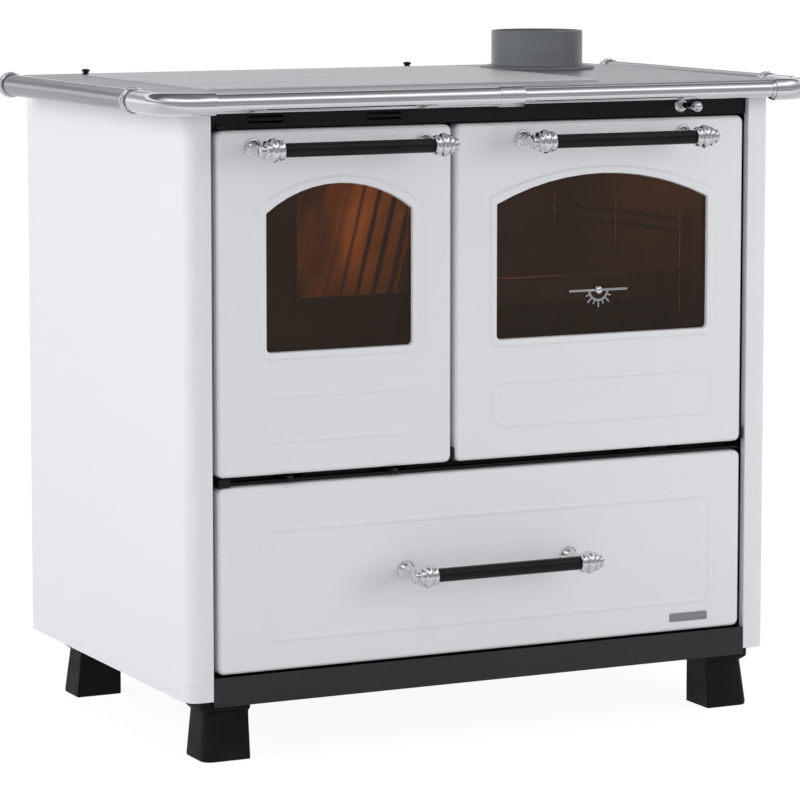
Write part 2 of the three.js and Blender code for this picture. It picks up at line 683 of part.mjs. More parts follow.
// ---------------------------------------------------------------- Firebox
const fireboxBack = backPanelFront - FIREBOX_TO_BACK;
const grateTop = doorBottom + GRATE_LEVEL + GRATE_THICKNESS;
const linerSpan = [behindFrame + 2, fireboxBack - CASING_SHEET - BACK_LINER - 2 * FIT];
const linerFoot = doorBottom + GRATE_LEVEL + FIT;
const linerHead = innerTop - SMOKE_PASS_TOP - FIT;

// An open-fronted, open-topped sheet box with ledges that carry the grate and the liners.
function addFireboxCasing() {
  const [left, right] = casing.x;
  const z = [casing.floor, innerTop];
  const passTop = innerTop - SMOKE_PASS_TOP;
  const ledge = [doorBottom + GRATE_LEVEL - CASING_SHEET, doorBottom + GRATE_LEVEL];
  const y = [behindFrame, fireboxBack];
  const reach = LINER_FOOT + GRATE_LEDGE;
  addPiece(
    "firebox_casing",
    joined(
      block([left, left + CASING_SHEET], y, z),
      block([right - CASING_SHEET, right], y, [z[0], passTop]),
      block([left, right], [y[1] - CASING_SHEET, y[1]], z),
      block([left, right], y, [z[0], z[0] + CASING_SHEET]),
      block([left, left + reach], y, ledge),
      block([right - reach, right], y, ledge),
      block([left, right], [y[1] - BACK_LINER - GRATE_LEDGE, y[1]], ledge),
    ),
    SOOT_STEEL,
  );
}

// A side liner is a wedge of fire clay: its ribbed face leans outwards as it rises.
function addSideLiner(name, wallX, inward) {
  const wedge = (proud) => [
    [wallX, linerFoot],
    [wallX + inward * (LINER_FOOT + proud), linerFoot],
    [wallX + inward * (LINER_HEAD + proud), linerHead],
    [wallX, linerHead],
  ];
  const ribs = [];
  const pitch = (linerSpan[1] - linerSpan[0]) / LINER_RIBS;
  for (let i = 0; i < LINER_RIBS; i += 1) {
    const y = linerSpan[0] + (i + 0.5) * pitch;
    ribs.push(slabY(wedge(LINER_RIB), [y - pitch / 5, y + pitch / 5]));
  }
  addPiece(name, joined(slabY(wedge(0), linerSpan), ...ribs), FIRE_CLAY);
}

function addBackLiner() {
  const x = [casing.x[0] + CASING_SHEET + FIT, casing.x[1] - CASING_SHEET - FIT];
  const y = [linerSpan[1] + FIT, fireboxBack - CASING_SHEET - FIT];
  const z = [linerFoot, linerHead];
  const grooves = [];
  const pitch = (x[1] - x[0]) / LINER_RIBS;
  for (let i = 0; i < LINER_RIBS; i += 1) {
    const centre = x[0] + (i + 0.5) * pitch;
    const grooveX = [centre - pitch / 4, centre + pitch / 4];
    grooves.push(block(grooveX, [y[0] - 1, y[0] + LINER_RIB], [z[0] + LINER_SILL, z[1] + 1]));
  }
  addPiece("firebox_liner_back", cut(block(x, y, z), ...grooves), FIRE_CLAY);
}

function addGrate() {
  const x = [
    casing.x[0] + CASING_SHEET + FIT + LINER_FOOT + LINER_RIB + 2,
    casing.x[1] - CASING_SHEET - FIT - LINER_FOOT - LINER_RIB - 2,
  ];
  const y = [linerSpan[0], linerSpan[1] - LINER_RIB];
  const z = [linerFoot, grateTop];
  const slots = [];
  const pitch = (y[1] - y[0] - 2 * GRATE_BORDER[1]) / GRATE_BARS;
  const half = (pitch * GRATE_SLOT_SHARE) / 2;
  for (let i = 0; i < GRATE_BARS; i += 1) {
    const centre = y[0] + GRATE_BORDER[1] + (i + 0.5) * pitch;
    slots.push(block(grown(x, -GRATE_BORDER[0]), [centre - half, centre + half], grown(z, 1)));
  }
  addPiece("grate", cut(block(x, y, z), ...slots), IRON);
}

function addAshPan() {
  const y = [behindFrame + ASH_PAN_SETBACK[0], fireboxBack - ASH_PAN_SETBACK[1]];
  const z = [ashPan.z, ashPan.z + ASH_PAN_HEIGHT];
  const hollow = block(grown(ashPan.x, -SHEET), grown(y, -SHEET), [z[0] + SHEET, z[1] + 1]);
  const middle = (ashPan.x[0] + ashPan.x[1]) / 2;
  const tabTop = z[1] - ASH_PAN_TAB.drop;
  const tab = block(
    [middle - ASH_PAN_TAB.width / 2, middle + ASH_PAN_TAB.width / 2],
    [y[0] - ASH_PAN_TAB.reach, y[0] + 1],
    [tabTop - CASING_SHEET, tabTop],
  );
  addPiece("ash_pan", joined(cut(block(ashPan.x, y, z), hollow), tab), BARE_STEEL);
}

function addFirebox() {
  addFireboxCasing();
  addSideLiner("firebox_liner_left", casing.x[0] + CASING_SHEET + FIT, 1);
  addSideLiner("firebox_liner_right", casing.x[1] - CASING_SHEET - FIT, -1);
  addBackLiner();
  addGrate();
  addAshPan();
}

// ---------------------------------------------------------------- Oven and smoke ways
const oven = {
  x: [ovenDoor.left + OVEN_SIDE[0], ovenDoor.right - OVEN_SIDE[1]],
  y: [behindFrame, smokeBack - SMOKE_PASS_BACK],
  z: [doorBottom + OVEN_FLOOR, innerTop - SMOKE_PASS_TOP + OVEN_TOP_RISE],
};

// The damper's disc fills the height of the smoke way over the oven.
const damperSpan = [oven.z[1] + DAMPER_RISE, innerTop - DAMPER_DROP];
const damper = {
  radius: (damperSpan[1] - damperSpan[0]) / 2,
  z: (damperSpan[0] + damperSpan[1]) / 2,
};

function addOvenBox() {
  const hollow = block(
    [oven.x[0] + SHEET, oven.x[1] - SHEET],
    [oven.y[0] - 1, oven.y[1] - SHEET],
    [oven.z[0] + SHEET, oven.z[1] - SHEET],
  );
  addPiece("oven_box", cut(block(oven.x, oven.y, oven.z), hollow), OVEN_STEEL);
}

// The rack carries as many pairs of runs as the oven's height takes; each entry is a pair's lower wire.
function rackLevels() {
  const first = oven.z[0] + SHEET + RACK_FIRST;
  const last = oven.z[1] - SHEET - RACK_ROOM;
  const levels = [];
  for (let level = first; level <= last; level += RACK_PITCH) {
    levels.push(level);
  }
  return levels;
}

// A rack is a ladder of round wires: uprights joined by pairs of runs at each tray level.
function addOvenRack(name, wallX, inward) {
  const x = wallX + inward * RACK_INSET;
  const ends = [oven.y[0] + RACK_SETBACK, oven.y[1] - SHEET - RACK_INSET];
  const levels = rackLevels();
  const height = [oven.z[0] + SHEET + RACK_FOOT, levels.at(-1) + RACK_PAIR + RACK_PAST];
  const uprights = [];
  for (let i = 0; i < RACK_WIRES; i += 1) {
    const y = ends[0] + ((ends[1] - ends[0]) * i) / (RACK_WIRES - 1);
    uprights.push(rod(RACK_WIRE, "z", [x, y, 0], height, 6));
    for (const level of grown(height, -RACK_TIE)) {
      uprights.push(rod(RACK_WIRE, "x", [0, y, level], wallSpan(wallX, x, inward), 6));
    }
  }
  const wires = levels.flatMap((level) => [level, level + RACK_PAIR]);
  const runs = wires.map((level) =>
    rod(RACK_WIRE, "y", [x + inward * RACK_WIRE * 1.6, 0, level], grown(ends, 3), 6),
  );
  addPiece(name, joined(...uprights, ...runs), CHROME);
}

// From just off the wall to the upright's axis, low end first.
function wallSpan(wallX, x, inward) {
  const start = wallX + inward * FIT;
  return inward > 0 ? [start, x] : [x, start];
}

// The tray hangs by its rim on the lowest pair of runs.
function addBakingTray() {
  const reach = RACK_INSET + RACK_WIRE + FIT;
  const rimX = [oven.x[0] + SHEET + reach, oven.x[1] - SHEET - reach];
  const rest = rackLevels()[0] + RACK_PAIR + RACK_WIRE + FIT;
  const rim = [rest, rest + TRAY_SHEET];
  const rimY = [oven.y[0] + RACK_SETBACK - TRAY_SETBACK, oven.y[1] - SHEET - RACK_INSET - TRAY_SETBACK];
  const bowlX = [rimX[0] + TRAY_RIM, rimX[1] - TRAY_RIM];
  const bowlY = [rimY[0] + TRAY_RIM, rimY[1] - TRAY_RIM];
  const bowl = block(bowlX, bowlY, [rim[1] - TRAY_HEIGHT, rim[1]]);
  const flange = block(rimX, rimY, rim);
  const hollow = block(
    [bowlX[0] + TRAY_SHEET, bowlX[1] - TRAY_SHEET],
    [bowlY[0] + TRAY_SHEET, bowlY[1] - TRAY_SHEET],
    [rim[1] - TRAY_HEIGHT + TRAY_SHEET, rim[1] + 1],
  );
  addPiece("baking_tray", cut(joined(bowl, flange), hollow), IRON);
}

// The casing leads the smoke over, beside, under and behind the oven.
function addSmokeCasing() {
  const x = [casing.x[1] + FIT, smokeRight];
  const y = [behindFrame, smokeBack];
  const z = [oven.z[0] - SMOKE_PASS_UNDER, innerTop];
  addPiece(
    "smoke_casing",
    joined(
      block(x, y, [z[0], z[0] + CASING_SHEET]),
      block([x[0], x[0] + CASING_SHEET], y, [z[0], innerTop - SMOKE_PASS_TOP]),
      block([x[1] - CASING_SHEET, x[1]], y, z),
      block(x, [y[1] - CASING_SHEET, y[1]], z),
      flueChamber(),
    ),
    SOOT_STEEL,
  );
}

// A U of sheet on the oven's top closes the flue off from the way over the oven.
function flueChamber() {
  const reach = FLUE_RADIUS + CHAMBER_GAP;
  const x = [flueX - reach, smokeRight - 1];
  const y = [flueY - reach, smokeBack - 1];
  const z = [oven.z[1] + FIT, innerTop];
  const hollow = block([x[0] + SHEET, x[1] + 1], [y[0] + SHEET, y[1] + 1], [z[0] - 1, z[1] + 1]);
  const wall = [y[0], y[0] + SHEET];
  const hole = rod(damper.radius - DAMPER_LAP, "y", [bypassX, 0, damper.z], grown(wall, 1), 24);
  return cut(block(x, y, z), hollow, hole);
}


// ---------------------------------------------------------------- Hob
const hob = {
  x: [-sideX - HOB_OVERHANG, sideX + HOB_OVERHANG],
  y: [-HOB_FRONT, backPanelFront + SHEET + FIT + HOB_RIM_SHEET],
};
const cookRing = [(casing.x[0] + casing.x[1]) / 2, COOK_RING_Y, 0];
const hobPlate = {
  x: [cookRing[0] - COOK_RING_RADIUS - HOB_PLATE.ring, flueX - flangeRadius - HOB_PLATE.flue],
  y: [HOB_PLATE.front, hob.y[1] - HOB_PLATE.back],
};

// A pressed steel frame: thin top, turned-down rim, and a ledge all round the opening for the hob plate.
function addHobFrame() {
  const skin = [hobFrameTop - HOB_SKIN, hobFrameTop];
  const corner = HOB_PLATE_CORNER + HOB_LEDGE;
  const open = (by) => roundedBox(grown(hobPlate.x, by), grown(hobPlate.y, by), corner + by);
  const inside = [grown(hob.x, -HOB_RIM_SHEET), grown(hob.y, -HOB_RIM_SHEET)];
  const below = [hobRimBottom - 1, skin[0]];
  const shell = cut(
    slabZ(roundedBox(hob.x, hob.y, HOB_CORNER), [hobRimBottom, hobFrameTop]),
    slabZ(roundedBox(...inside, HOB_CORNER - HOB_RIM_SHEET), below),
  );
  const ledge = slabZ(open(HOB_PLATE_GAP + HOB_LEDGE_LAP), [hobLedgeTop - HOB_LEDGE_THICKNESS, skin[0] + 1]);
  const seat = slabZ(open(HOB_PLATE_GAP), [hobLedgeTop, HOB_TOP]);
  const through = [hobRimBottom - 2, HOB_TOP];
  const hole = slabZ(open(-HOB_LEDGE), through);
  const flueHole = FLUE_RADIUS - FLUE_SPIGOT_INSET + FLUE_HOLE_GAP;
  const flue = rod(flueHole, "z", [flueX, flueY, 0], through, 32);
  addPiece("hob_frame", cut(joined(shell, ledge), seat, hole, flue), HOB_STEEL);
}

// The cast plate has a stepped round opening over the fire.
function addHobPlate() {
  const z = [hobLedgeTop + FIT, HOB_TOP];
  const outline = roundedBox(hobPlate.x, hobPlate.y, HOB_PLATE_CORNER + HOB_LEDGE);
  addPiece(
    "hob_plate",
    cut(
      slabZ(outline, z),
      rod(COOK_RING_RADIUS - COOK_STEP + COOK_GAP, "z", cookRing, [z[0] - 1, z[1] + 1], 36),
      rod(COOK_RING_RADIUS + COOK_GAP, "z", cookRing, [z[1] - COOK_STEP_DEPTH, z[1] + 1], 36),
    ),
    HOB_STEEL,
  );
}

// The ring and the lid each rest with a step on the piece outside them.
function addCookRing() {
  const z = [hobLedgeTop + FIT, HOB_TOP];
  const step = z[1] - COOK_STEP_DEPTH;
  const outer = COOK_RING_RADIUS;
  const inner = COOK_LID_RADIUS;
  addPiece(
    "hob_ring",
    turned(
      [
        [inner - COOK_STEP + COOK_GAP, z[0]],
        [outer - COOK_STEP, z[0]],
        [outer - COOK_STEP, step + FIT],
        [outer, step + FIT],
        [outer, z[1]],
        [inner + COOK_GAP, z[1]],
        [inner + COOK_GAP, step],
        [inner - COOK_STEP + COOK_GAP, step],
      ],
      "z",
      cookRing,
      36,
    ),
    HOB_STEEL,
  );
  const lid = turned(
    [
      [0, z[0]],
      [inner - COOK_STEP, z[0]],
      [inner - COOK_STEP, step + FIT],
      [inner, step + FIT],
      [inner, z[1]],
      [0, z[1]],
    ],
    "z",
    cookRing,
    36,
  );
  const [x, y] = cookRing;
  const notch = block(
    [x - LID_NOTCH.half, x + LID_NOTCH.half],
    [y + LID_NOTCH.y[0], y + LID_NOTCH.y[1]],
    [z[1] - LID_NOTCH.depth, z[1] + 1],
  );
  addPiece("hob_lid", cut(lid, notch), HOB_STEEL);
}

function addFlueCollar() {
  const outer = FLUE_RADIUS;
  const inner = FLUE_RADIUS - FLUE_WALL;
  const base = hobFrameTop + FIT;
  addPiece(
    "flue_collar",
    turned(
      [
        [inner, hobRimBottom],
        [outer - FLUE_SPIGOT_INSET, hobRimBottom],
        [outer - FLUE_SPIGOT_INSET, base],
        [flangeRadius, base],
        [flangeRadius, base + FLUE_FLANGE - 1],
        [flangeRadius - 1, base + FLUE_FLANGE],
        [outer, base + FLUE_FLANGE],
        [outer, base + FLUE_FLANGE + FLUE_HEIGHT],
        [inner, base + FLUE_FLANGE + FLUE_HEIGHT],
      ],
      "z",
      [flueX, flueY, 0],
      32,
    ),
    COLLAR_PAINT,
  );
}

// ---------------------------------------------------------------- Hand rail
const railEndY = BODY_DEPTH - RAIL_END_BACK;

function addSideRail(name, side) {
  const rail = tube(
    RAIL_RADIUS,
    RAIL_RADIUS - RAIL_WALL,
    "y",
    [side * railX, 0, railZ],
    [RAIL_JOINT_Y + FIT, railEndY],
  );
  addPiece(name, rail, SATIN_STEEL);
}

// The elbow is welded into its bracket, runs forward, bends, and takes the end of the front rail.
function addElbow(name, side) {
  const bendX = railX - RAIL_BEND;
  const flat = (x, y) => new THREE.Vector3(side * x, y, railZ);
  const turn = [];
  arc(bendX, -RAIL_FRONT + RAIL_BEND, RAIL_BEND, 0, -90, 6).forEach(([x, y]) => turn.push(flat(x, y)));
  const stops = [flat(railX, RAIL_JOINT_Y - FIT), ...turn, flat(bendX - RAIL_STUB, -RAIL_FRONT)];
  const ring = (radius) => arc(0, 0, radius, 0, 360, 16).slice(0, -1);
  const sweep = (radius) => sweptRing(ring(radius), stops);
  const collar = bracket(side).ring.translate([side * railX, RAIL_JOINT_Y, railZ]);
  const neck = tube(RAIL_RADIUS + 0.5, RAIL_RADIUS - 0.5, "y", [side * railX, 0, railZ], [
    RAIL_JOINT_Y - BRACKET_LENGTH / 2,
    RAIL_JOINT_Y - FIT,
  ]);
  const bend = cut(sweep(RAIL_RADIUS), sweep(RAIL_RADIUS - RAIL_WALL));
  addPiece(name, joined(bend, neck, collar), CHROME);
}

// A flat path of points carries a ring of [across, up] points; each joint is mitred.
function sweptRing(ring, stops) {
  const positions = [];
  stops.forEach((stop, i) => {
    const before = stops[Math.max(i - 1, 0)];
    const after = stops[Math.min(i + 1, stops.length - 1)];
    const into = new THREE.Vector3().subVectors(stop, before);
    const outOf = new THREE.Vector3().subVectors(after, stop);
    if (i === 0) into.copy(outOf);
    if (i === stops.length - 1) outOf.copy(into);
    const heading = into.normalize().add(outOf.normalize());
    const stretch = 2 / heading.length();
    heading.normalize();
    for (const [across, up] of ring) {
      const wide = across * stretch;
      positions.push(stop.x - heading.y * wide, stop.y + heading.x * wide, stop.z + up);
    }
  });
  return skinned(positions, stops.length, ring.length);
}

// The two halves of the front rail differ in thickness. The thin one ends in a sleeve on the thick one.
function addFrontRails() {
  const centre = [0, -RAIL_FRONT, railZ];
  const start = railX - RAIL_BEND - RAIL_LAP;
  const middle = (SLEEVE_X[0] + SLEEVE_X[1]) / 2;
  const [thick, thin] = FRONT_RAIL_STEP.map((step) => RAIL_RADIUS - RAIL_WALL - step);
  const left = tube(thick, thick - RAIL_WALL, "x", centre, [-start, middle - FIT / 2]);
  const bush = RAIL_RADIUS - RAIL_WALL - FIT;
  addPiece(
    "rail_front_right",
    turned(
      [
        [thin - RAIL_WALL, middle + FIT / 2],
        [thin, middle + FIT / 2],
        [thin, start - RAIL_LAP],
        [bush, start - RAIL_LAP],
        [bush, start],
        [thin - RAIL_WALL, start],
      ],
      "x",
      centre,
      16,
    ),
    CHROME,
  );
  const bore = [thick - RAIL_WALL / 2, thin + FIT];
  const sleeve = turned(
    [
      [bore[0], SLEEVE_X[0]],
      [thick + FIT + SLEEVE_WALL, SLEEVE_X[0]],
      [thick + FIT + SLEEVE_WALL, SLEEVE_X[1]],
      [bore[1], SLEEVE_X[1]],
      [bore[1], middle],
      [bore[0], middle],
    ],
    "x",
    centre,
    16,
  );
  const arm = block(
    [middle - ARM.half, middle + ARM.half],
    [-RAIL_FRONT + thick, -HOB_FRONT - FIT],
    [railZ - ARM.below, railZ + ARM.above],
  );
  addPiece("rail_front_left", joined(left, sleeve, arm), CHROME);
}

// A beaded ring round the rail, on an arm from the hob frame's side.
function bracket(side) {
  const bore = RAIL_RADIUS + FIT;
  const half = BRACKET_LENGTH / 2;
  const outer = RAIL_RADIUS + BRACKET_WALL;
  const ring = turned(
    [
      [bore, -half],
      [outer - 1.5, -half],
      [outer, -half + 2.5],
      [outer - 2, -half + 5],
      [outer - 2, half - 5],
      [outer, half - 2.5],
      [outer - 1.5, half],
      [bore, half],
    ],
    "y",
    [0, 0, 0],
    16,
  );
  const inward = [HOB_OVERHANG + FIT - RAIL_OUT, -bore - 0.5];
  const armX = side > 0 ? inward : [-inward[1], -inward[0]];
  const arm = block(armX, [-ARM.half + 2, ARM.half - 2], [-ARM.below, ARM.above]);
  const dome = [[0, half - 1], [outer - 2, half - 1], [outer - 3, half + 2], [0, half + 3]];
  const cap = turned(dome, "y", [0, 0, 0], 16);
  return { ring: joined(ring, arm), cap };
}

// The rear bracket is closed by a domed cap behind the rail's end.
function addRailEnd(name, side) {
  const { ring, cap } = bracket(side);
  const end = addPiece(name, joined(ring, cap), CHROME);
  end.position.set(side * railX, railEndY + FIT + 1 - BRACKET_LENGTH / 2, railZ);
}

function addHandRail() {
  addSideRail("rail_left", -1);
  addSideRail("rail_right", 1);
  addElbow("rail_elbow_left", -1);
  addElbow("rail_elbow_right", 1);
  addFrontRails();
  addRailEnd("rail_end_left", -1);
  addRailEnd("rail_end_right", 1);
}

// ---------------------------------------------------------------- Handles
// A post is a rosette and stem from the face, and a turned finial at one end of the grip.
function handlePost(side) {
  const tip = (HANDLE_LENGTH / 2) * side;
  const stemX = tip - side * (FINIAL_LENGTH * 0.55);
  const stem = turned(
    [
      [0, -FIT],
      [ROSETTE_RADIUS, -FIT],
      [ROSETTE_RADIUS, -3],
      [ROSETTE_RADIUS - 4, -6],
      [POST_RADIUS, -8],
      [POST_RADIUS, -HANDLE_REACH],
      [0, -HANDLE_REACH],
    ],
    "y",
    [stemX, 0, 0],
  );
  const radius = FINIAL_RADIUS;
  const shape = [
    [0, 0],
    [radius * 0.45, 0],
    [radius * 0.62, 3],
    [radius * 0.5, 8],
    [radius * 0.85, 10],
    [radius, 15],
    [radius, 20],
    [radius * 0.75, 26],
    [radius * 0.82, FINIAL_LENGTH],
    [0, FINIAL_LENGTH],
  ];
  const along = shape.map(([r, depth]) => [r, tip - side * depth]);
  return joined(turned(along, "x", [0, -HANDLE_REACH, 0]), stem);
}

// The posts and the core between them are one piece; the black grip is a tube round the core.
function addHandle(prefix, x, z, parent) {
  const handle = new THREE.Group();
  handle.position.set(x, 0, z);
  const half = HANDLE_LENGTH / 2 - FINIAL_LENGTH - FIT;
  const middle = [0, -HANDLE_REACH, 0];
  const core = rod(HANDLE_CORE_RADIUS, "x", middle, [-half - 1, half + 1]);
  addPiece(prefix + "_handle", joined(handlePost(-1), handlePost(1), core), CHROME, handle);
  addPiece(
    prefix + "_handle_grip",
    tube(HANDLE_GRIP_RADIUS, HANDLE_CORE_RADIUS + FIT, "x", middle, [-half, half]),
    GRIP_BLACK,
    handle,
  );
  parent.add(handle);
}

// ---------------------------------------------------------------- Doors
// A pressed pan: rounded front edges, thin skin, open at the back.
function pressedPan([x0, x1], [z0, z1]) {
  const outline = roundedBox([x0, x1], [z0, z1], DOOR_CORNER);
  const shape = new THREE.Shape(outline.map(([a, b]) => new THREE.Vector2(a, b)));
  const blank = new THREE.ExtrudeGeometry(shape, {
    depth: DOOR_DEPTH,
    bevelSize: DOOR_ROUND,
    bevelThickness: DOOR_ROUND,
    bevelOffset: -DOOR_ROUND,
    bevelSegments: 3,
  });
  blank.rotateX(Math.PI / 2).translate(0, DOOR_DEPTH + DOOR_ROUND, 0);
  const body = solidOf(blank).intersect(block(grown([x0, x1], 5), [-5, DOOR_DEPTH], grown([z0, z1], 5)));
  const hollow = slabY(
    roundedBox(grown([x0, x1], -DOOR_SKIN), grown([z0, z1], -DOOR_SKIN), DOOR_CORNER - DOOR_SKIN),
    [DOOR_ROUND, DOOR_DEPTH + 1],
  );
  const inner = slabY(
    roundedBox(grown([x0, x1], -DOOR_ROUND), grown([z0, z1], -DOOR_ROUND), DOOR_CORNER - DOOR_SKIN),
    [DOOR_SKIN, DOOR_DEPTH + 1],
  );
  return cut(body, hollow, inner);
}

function bead(x, z, proud) {
  const outer = slabY(roundedBox(x, z, BEAD_CORNER), [-proud, DOOR_SKIN / 2]);
  const inner = slabY(
    roundedBox(grown(x, -BEAD_WIDTH), grown(z, -BEAD_WIDTH), BEAD_CORNER - BEAD_WIDTH),
    [-proud - 1, DOOR_SKIN],
  );
  return cut(outer, inner);
}

// Everything both doors have: panel, glass, back plate whose rim holds the glass, door seal and handle.
function addDoor(prefix, door, windowSide, beadSide, sealInset, pinHoles) {
  const x = [door.left, door.right];
  const z = [doorBottom, doorTop];
  const windowX = [door.left + windowSide[0], door.right - windowSide[1]];
  const windowZ = [doorBottom + WINDOW_BOTTOM, doorTop - WINDOW_TOP];
  const through = [-WINDOW_BORDER_PROUD - 1, DOOR_DEPTH + 1];
  const borderX = grown(windowX, WINDOW_BORDER);
  const borderZ = grown(windowZ, WINDOW_BORDER);
  const border = slabY(
    archedBox(borderX, borderZ, WINDOW_ARCH_RISE, WINDOW_CORNER * 2),
    [-WINDOW_BORDER_PROUD, DOOR_SKIN / 2],
  );
  const opening = slabY(archedBox(windowX, windowZ, WINDOW_ARCH_RISE, WINDOW_CORNER), through);
  const beadX = [door.left + beadSide[0], door.right - beadSide[1]];
  const beadZ = [doorBottom + DOOR_BEAD_BOTTOM, doorBottom + DOOR_BEAD_BOTTOM + DOOR_BEAD_HEIGHT];
  const panel = joined(pressedPan(x, z), border, bead(beadX, beadZ, BEAD_PROUD));
  addPiece(prefix + "_door_panel", cut(panel, opening, ...pinHoles), ENAMEL);

  const glassX = grown(windowX, GLASS_LAP);
  const glassZ = grown(windowZ, GLASS_LAP);
  const glassY = [DOOR_SKIN + FIT, DOOR_SKIN + FIT + GLASS_THICKNESS];
  const dialHole = prefix === "oven" ? [thermometerHole(glassY)] : [];
  addPiece(prefix + "_door_glass", cut(block(glassX, glassY, glassZ), ...dialHole), GLASS);

  const plateBack = DOOR_DEPTH - DOOR_BACK_SETBACK;
  const plateY = [plateBack - DOOR_BACK_PLATE, plateBack];
  const rimY = [glassY[1] + FIT, plateY[0] + 1];
  const rim = cut(
    block(glassX, rimY, glassZ),
    block(grown(glassX, -GLASS_RIM_WIDTH), grown(rimY, 1), grown(glassZ, -GLASS_RIM_WIDTH)),
  );

  const plate = block(grown(x, -DOOR_BACK_INSET), plateY, grown(z, -DOOR_BACK_INSET));
  const view = slabY(roundedBox(grown(windowX, 3), grown(windowZ, 3), MOUTH_CORNER), grown(plateY, 1));
  addPiece(prefix + "_door_back", joined(cut(plate, view), rim), BLACK_PAINT);

  const sealX = [door.left + sealInset.left, door.right - sealInset.right];
  const sealZ = [doorBottom + sealInset.bottom, doorTop - sealInset.top];
  const sealY = [plateY[1] + FIT, frameFront - FIT];
  const sealInner = [grown(sealX, -DOOR_SEAL_WIDTH), grown(sealZ, -DOOR_SEAL_WIDTH)];
  const seal = cut(
    slabY(roundedBox(sealX, sealZ, SEAL_CORNER), sealY),
    slabY(roundedBox(...sealInner, SEAL_CORNER - DOOR_SEAL_WIDTH), grown(sealY, 1)),
  );
  addPiece(prefix + "_door_seal", seal, ROPE);

  addHandle(prefix + "_door", (windowX[0] + windowX[1]) / 2, handleTopZ, stove);
}

function addFireboxDoor() {
  const pinX = fireboxDoor.left + HINGE_INSET;
  const centre = [pinX, hingeY, 0];
  addDoor("firebox", fireboxDoor, FIREBOX_WINDOW_SIDE, FIREBOX_BEAD_SIDE, FIREBOX_SEAL, [
    hingeHole("z", centre, [doorBottom - 1, doorBottom + DOOR_ROUND + 1]),
    hingeHole("z", centre, [doorTop - DOOR_ROUND - 1, doorTop + 1]),
  ]);
  const low = doorBottom - STRIP_GAP - LUG_HOLE + FIT;
  const high = doorTop + STRIP_GAP + LUG_THICKNESS;
  addPiece("firebox_hinge_rod", rod(PIN_RADIUS, "z", centre, [low, high]), BARE_STEEL);
}

function addOvenDoor() {
  const centre = [0, hingeY, hingeZ];
  addDoor("oven", ovenDoor, OVEN_WINDOW_SIDE, OVEN_BEAD_SIDE, OVEN_SEAL, [
    hingeHole("x", centre, [ovenDoor.left - 1, ovenDoor.left + DOOR_ROUND + 1]),
    hingeHole("x", centre, [ovenDoor.right - DOOR_ROUND - 1, ovenDoor.right + 1]),
  ]);
  const span = [ovenDoor.left - LUG_SPAN[1], ovenDoor.right + LUG_SPAN[1]];
  addPiece("oven_hinge_rod", rod(PIN_RADIUS, "x", centre, span), BARE_STEEL);
  addThermometer();
}

// ---------------------------------------------------------------- Oven thermometer
const dial = {
  x: (ovenDoor.left + OVEN_WINDOW_SIDE[0] + ovenDoor.right - OVEN_WINDOW_SIDE[1]) / 2 - THERMOMETER_SET,
  z: doorBottom + WINDOW_BOTTOM + THERMOMETER_RISE,
};

function thermometerHole(glassY) {
  return rod(THERMOMETER_HOLE, "y", [dial.x, 0, dial.z], [glassY[0] - 1, glassY[1] + 1], 16);
}

// Half a dial hangs below a level bar: a ring with raised marks, and a stem through the glass.
function addThermometer() {
  const back = DOOR_SKIN;
  const front = back - THERMOMETER_PROUD;
  const [inner, outer] = THERMOMETER_RING;
  const centre = [dial.x, 0, dial.z];
  const upperHalf = [dial.z, dial.z + THERMOMETER_BAR[0]];
  const ring = cut(
    rod(outer, "y", centre, [front, back], 32),
    rod(inner, "y", centre, [front - 1, back + 1], 32),
    block([dial.x - THERMOMETER_BAR[0], dial.x + THERMOMETER_BAR[0]], [front - 1, back + 1], upperHalf),
  );
  const bar = block(
    [dial.x - THERMOMETER_BAR[0] / 2, dial.x + THERMOMETER_BAR[0] / 2],
    [front, back],
    [dial.z - THERMOMETER_BAR[1] / 2, dial.z + THERMOMETER_BAR[1] / 2],
  );
  const marks = [];
  for (let i = 1; i < THERMOMETER_MARKS; i += 1) {
    const angle = Math.PI * (i / THERMOMETER_MARKS);
    const length = i % 2 === 0 ? 9 : 6;
    const mark = new THREE.BoxGeometry(length, back - front, THERMOMETER_MARK_WIDTH);
    mark.translate(outer - 1 + length / 2, 0, 0).rotateY(angle);
    marks.push(solidOf(mark.translate(dial.x, (front + back) / 2, dial.z)));
  }
  const stem = THERMOMETER_HOLE - FIT;
  const stemEnd = DOOR_SKIN + FIT + GLASS_THICKNESS + 5;
  const hub = turned(
    [[0, front], [5, front], [5, back], [stem, back], [stem, stemEnd], [0, stemEnd + 1]],
    "y",
    centre,
  );
  addPiece("thermometer_dial", joined(ring, bar, hub, ...marks), CHROME);

  const needle = joined(
    turned([[0, -5.5], [4.5, -4], [5.5, -FIT], [0, -FIT]], "y", [0, 0, 0]),
    block([-THERMOMETER_RADIUS + 2, 0], [-1.6, -FIT], [-0.9, 0.9]),
  );
  const pointer = addPiece("thermometer_pointer", needle, CHROME);
  pointer.position.set(dial.x, front, dial.z);
}

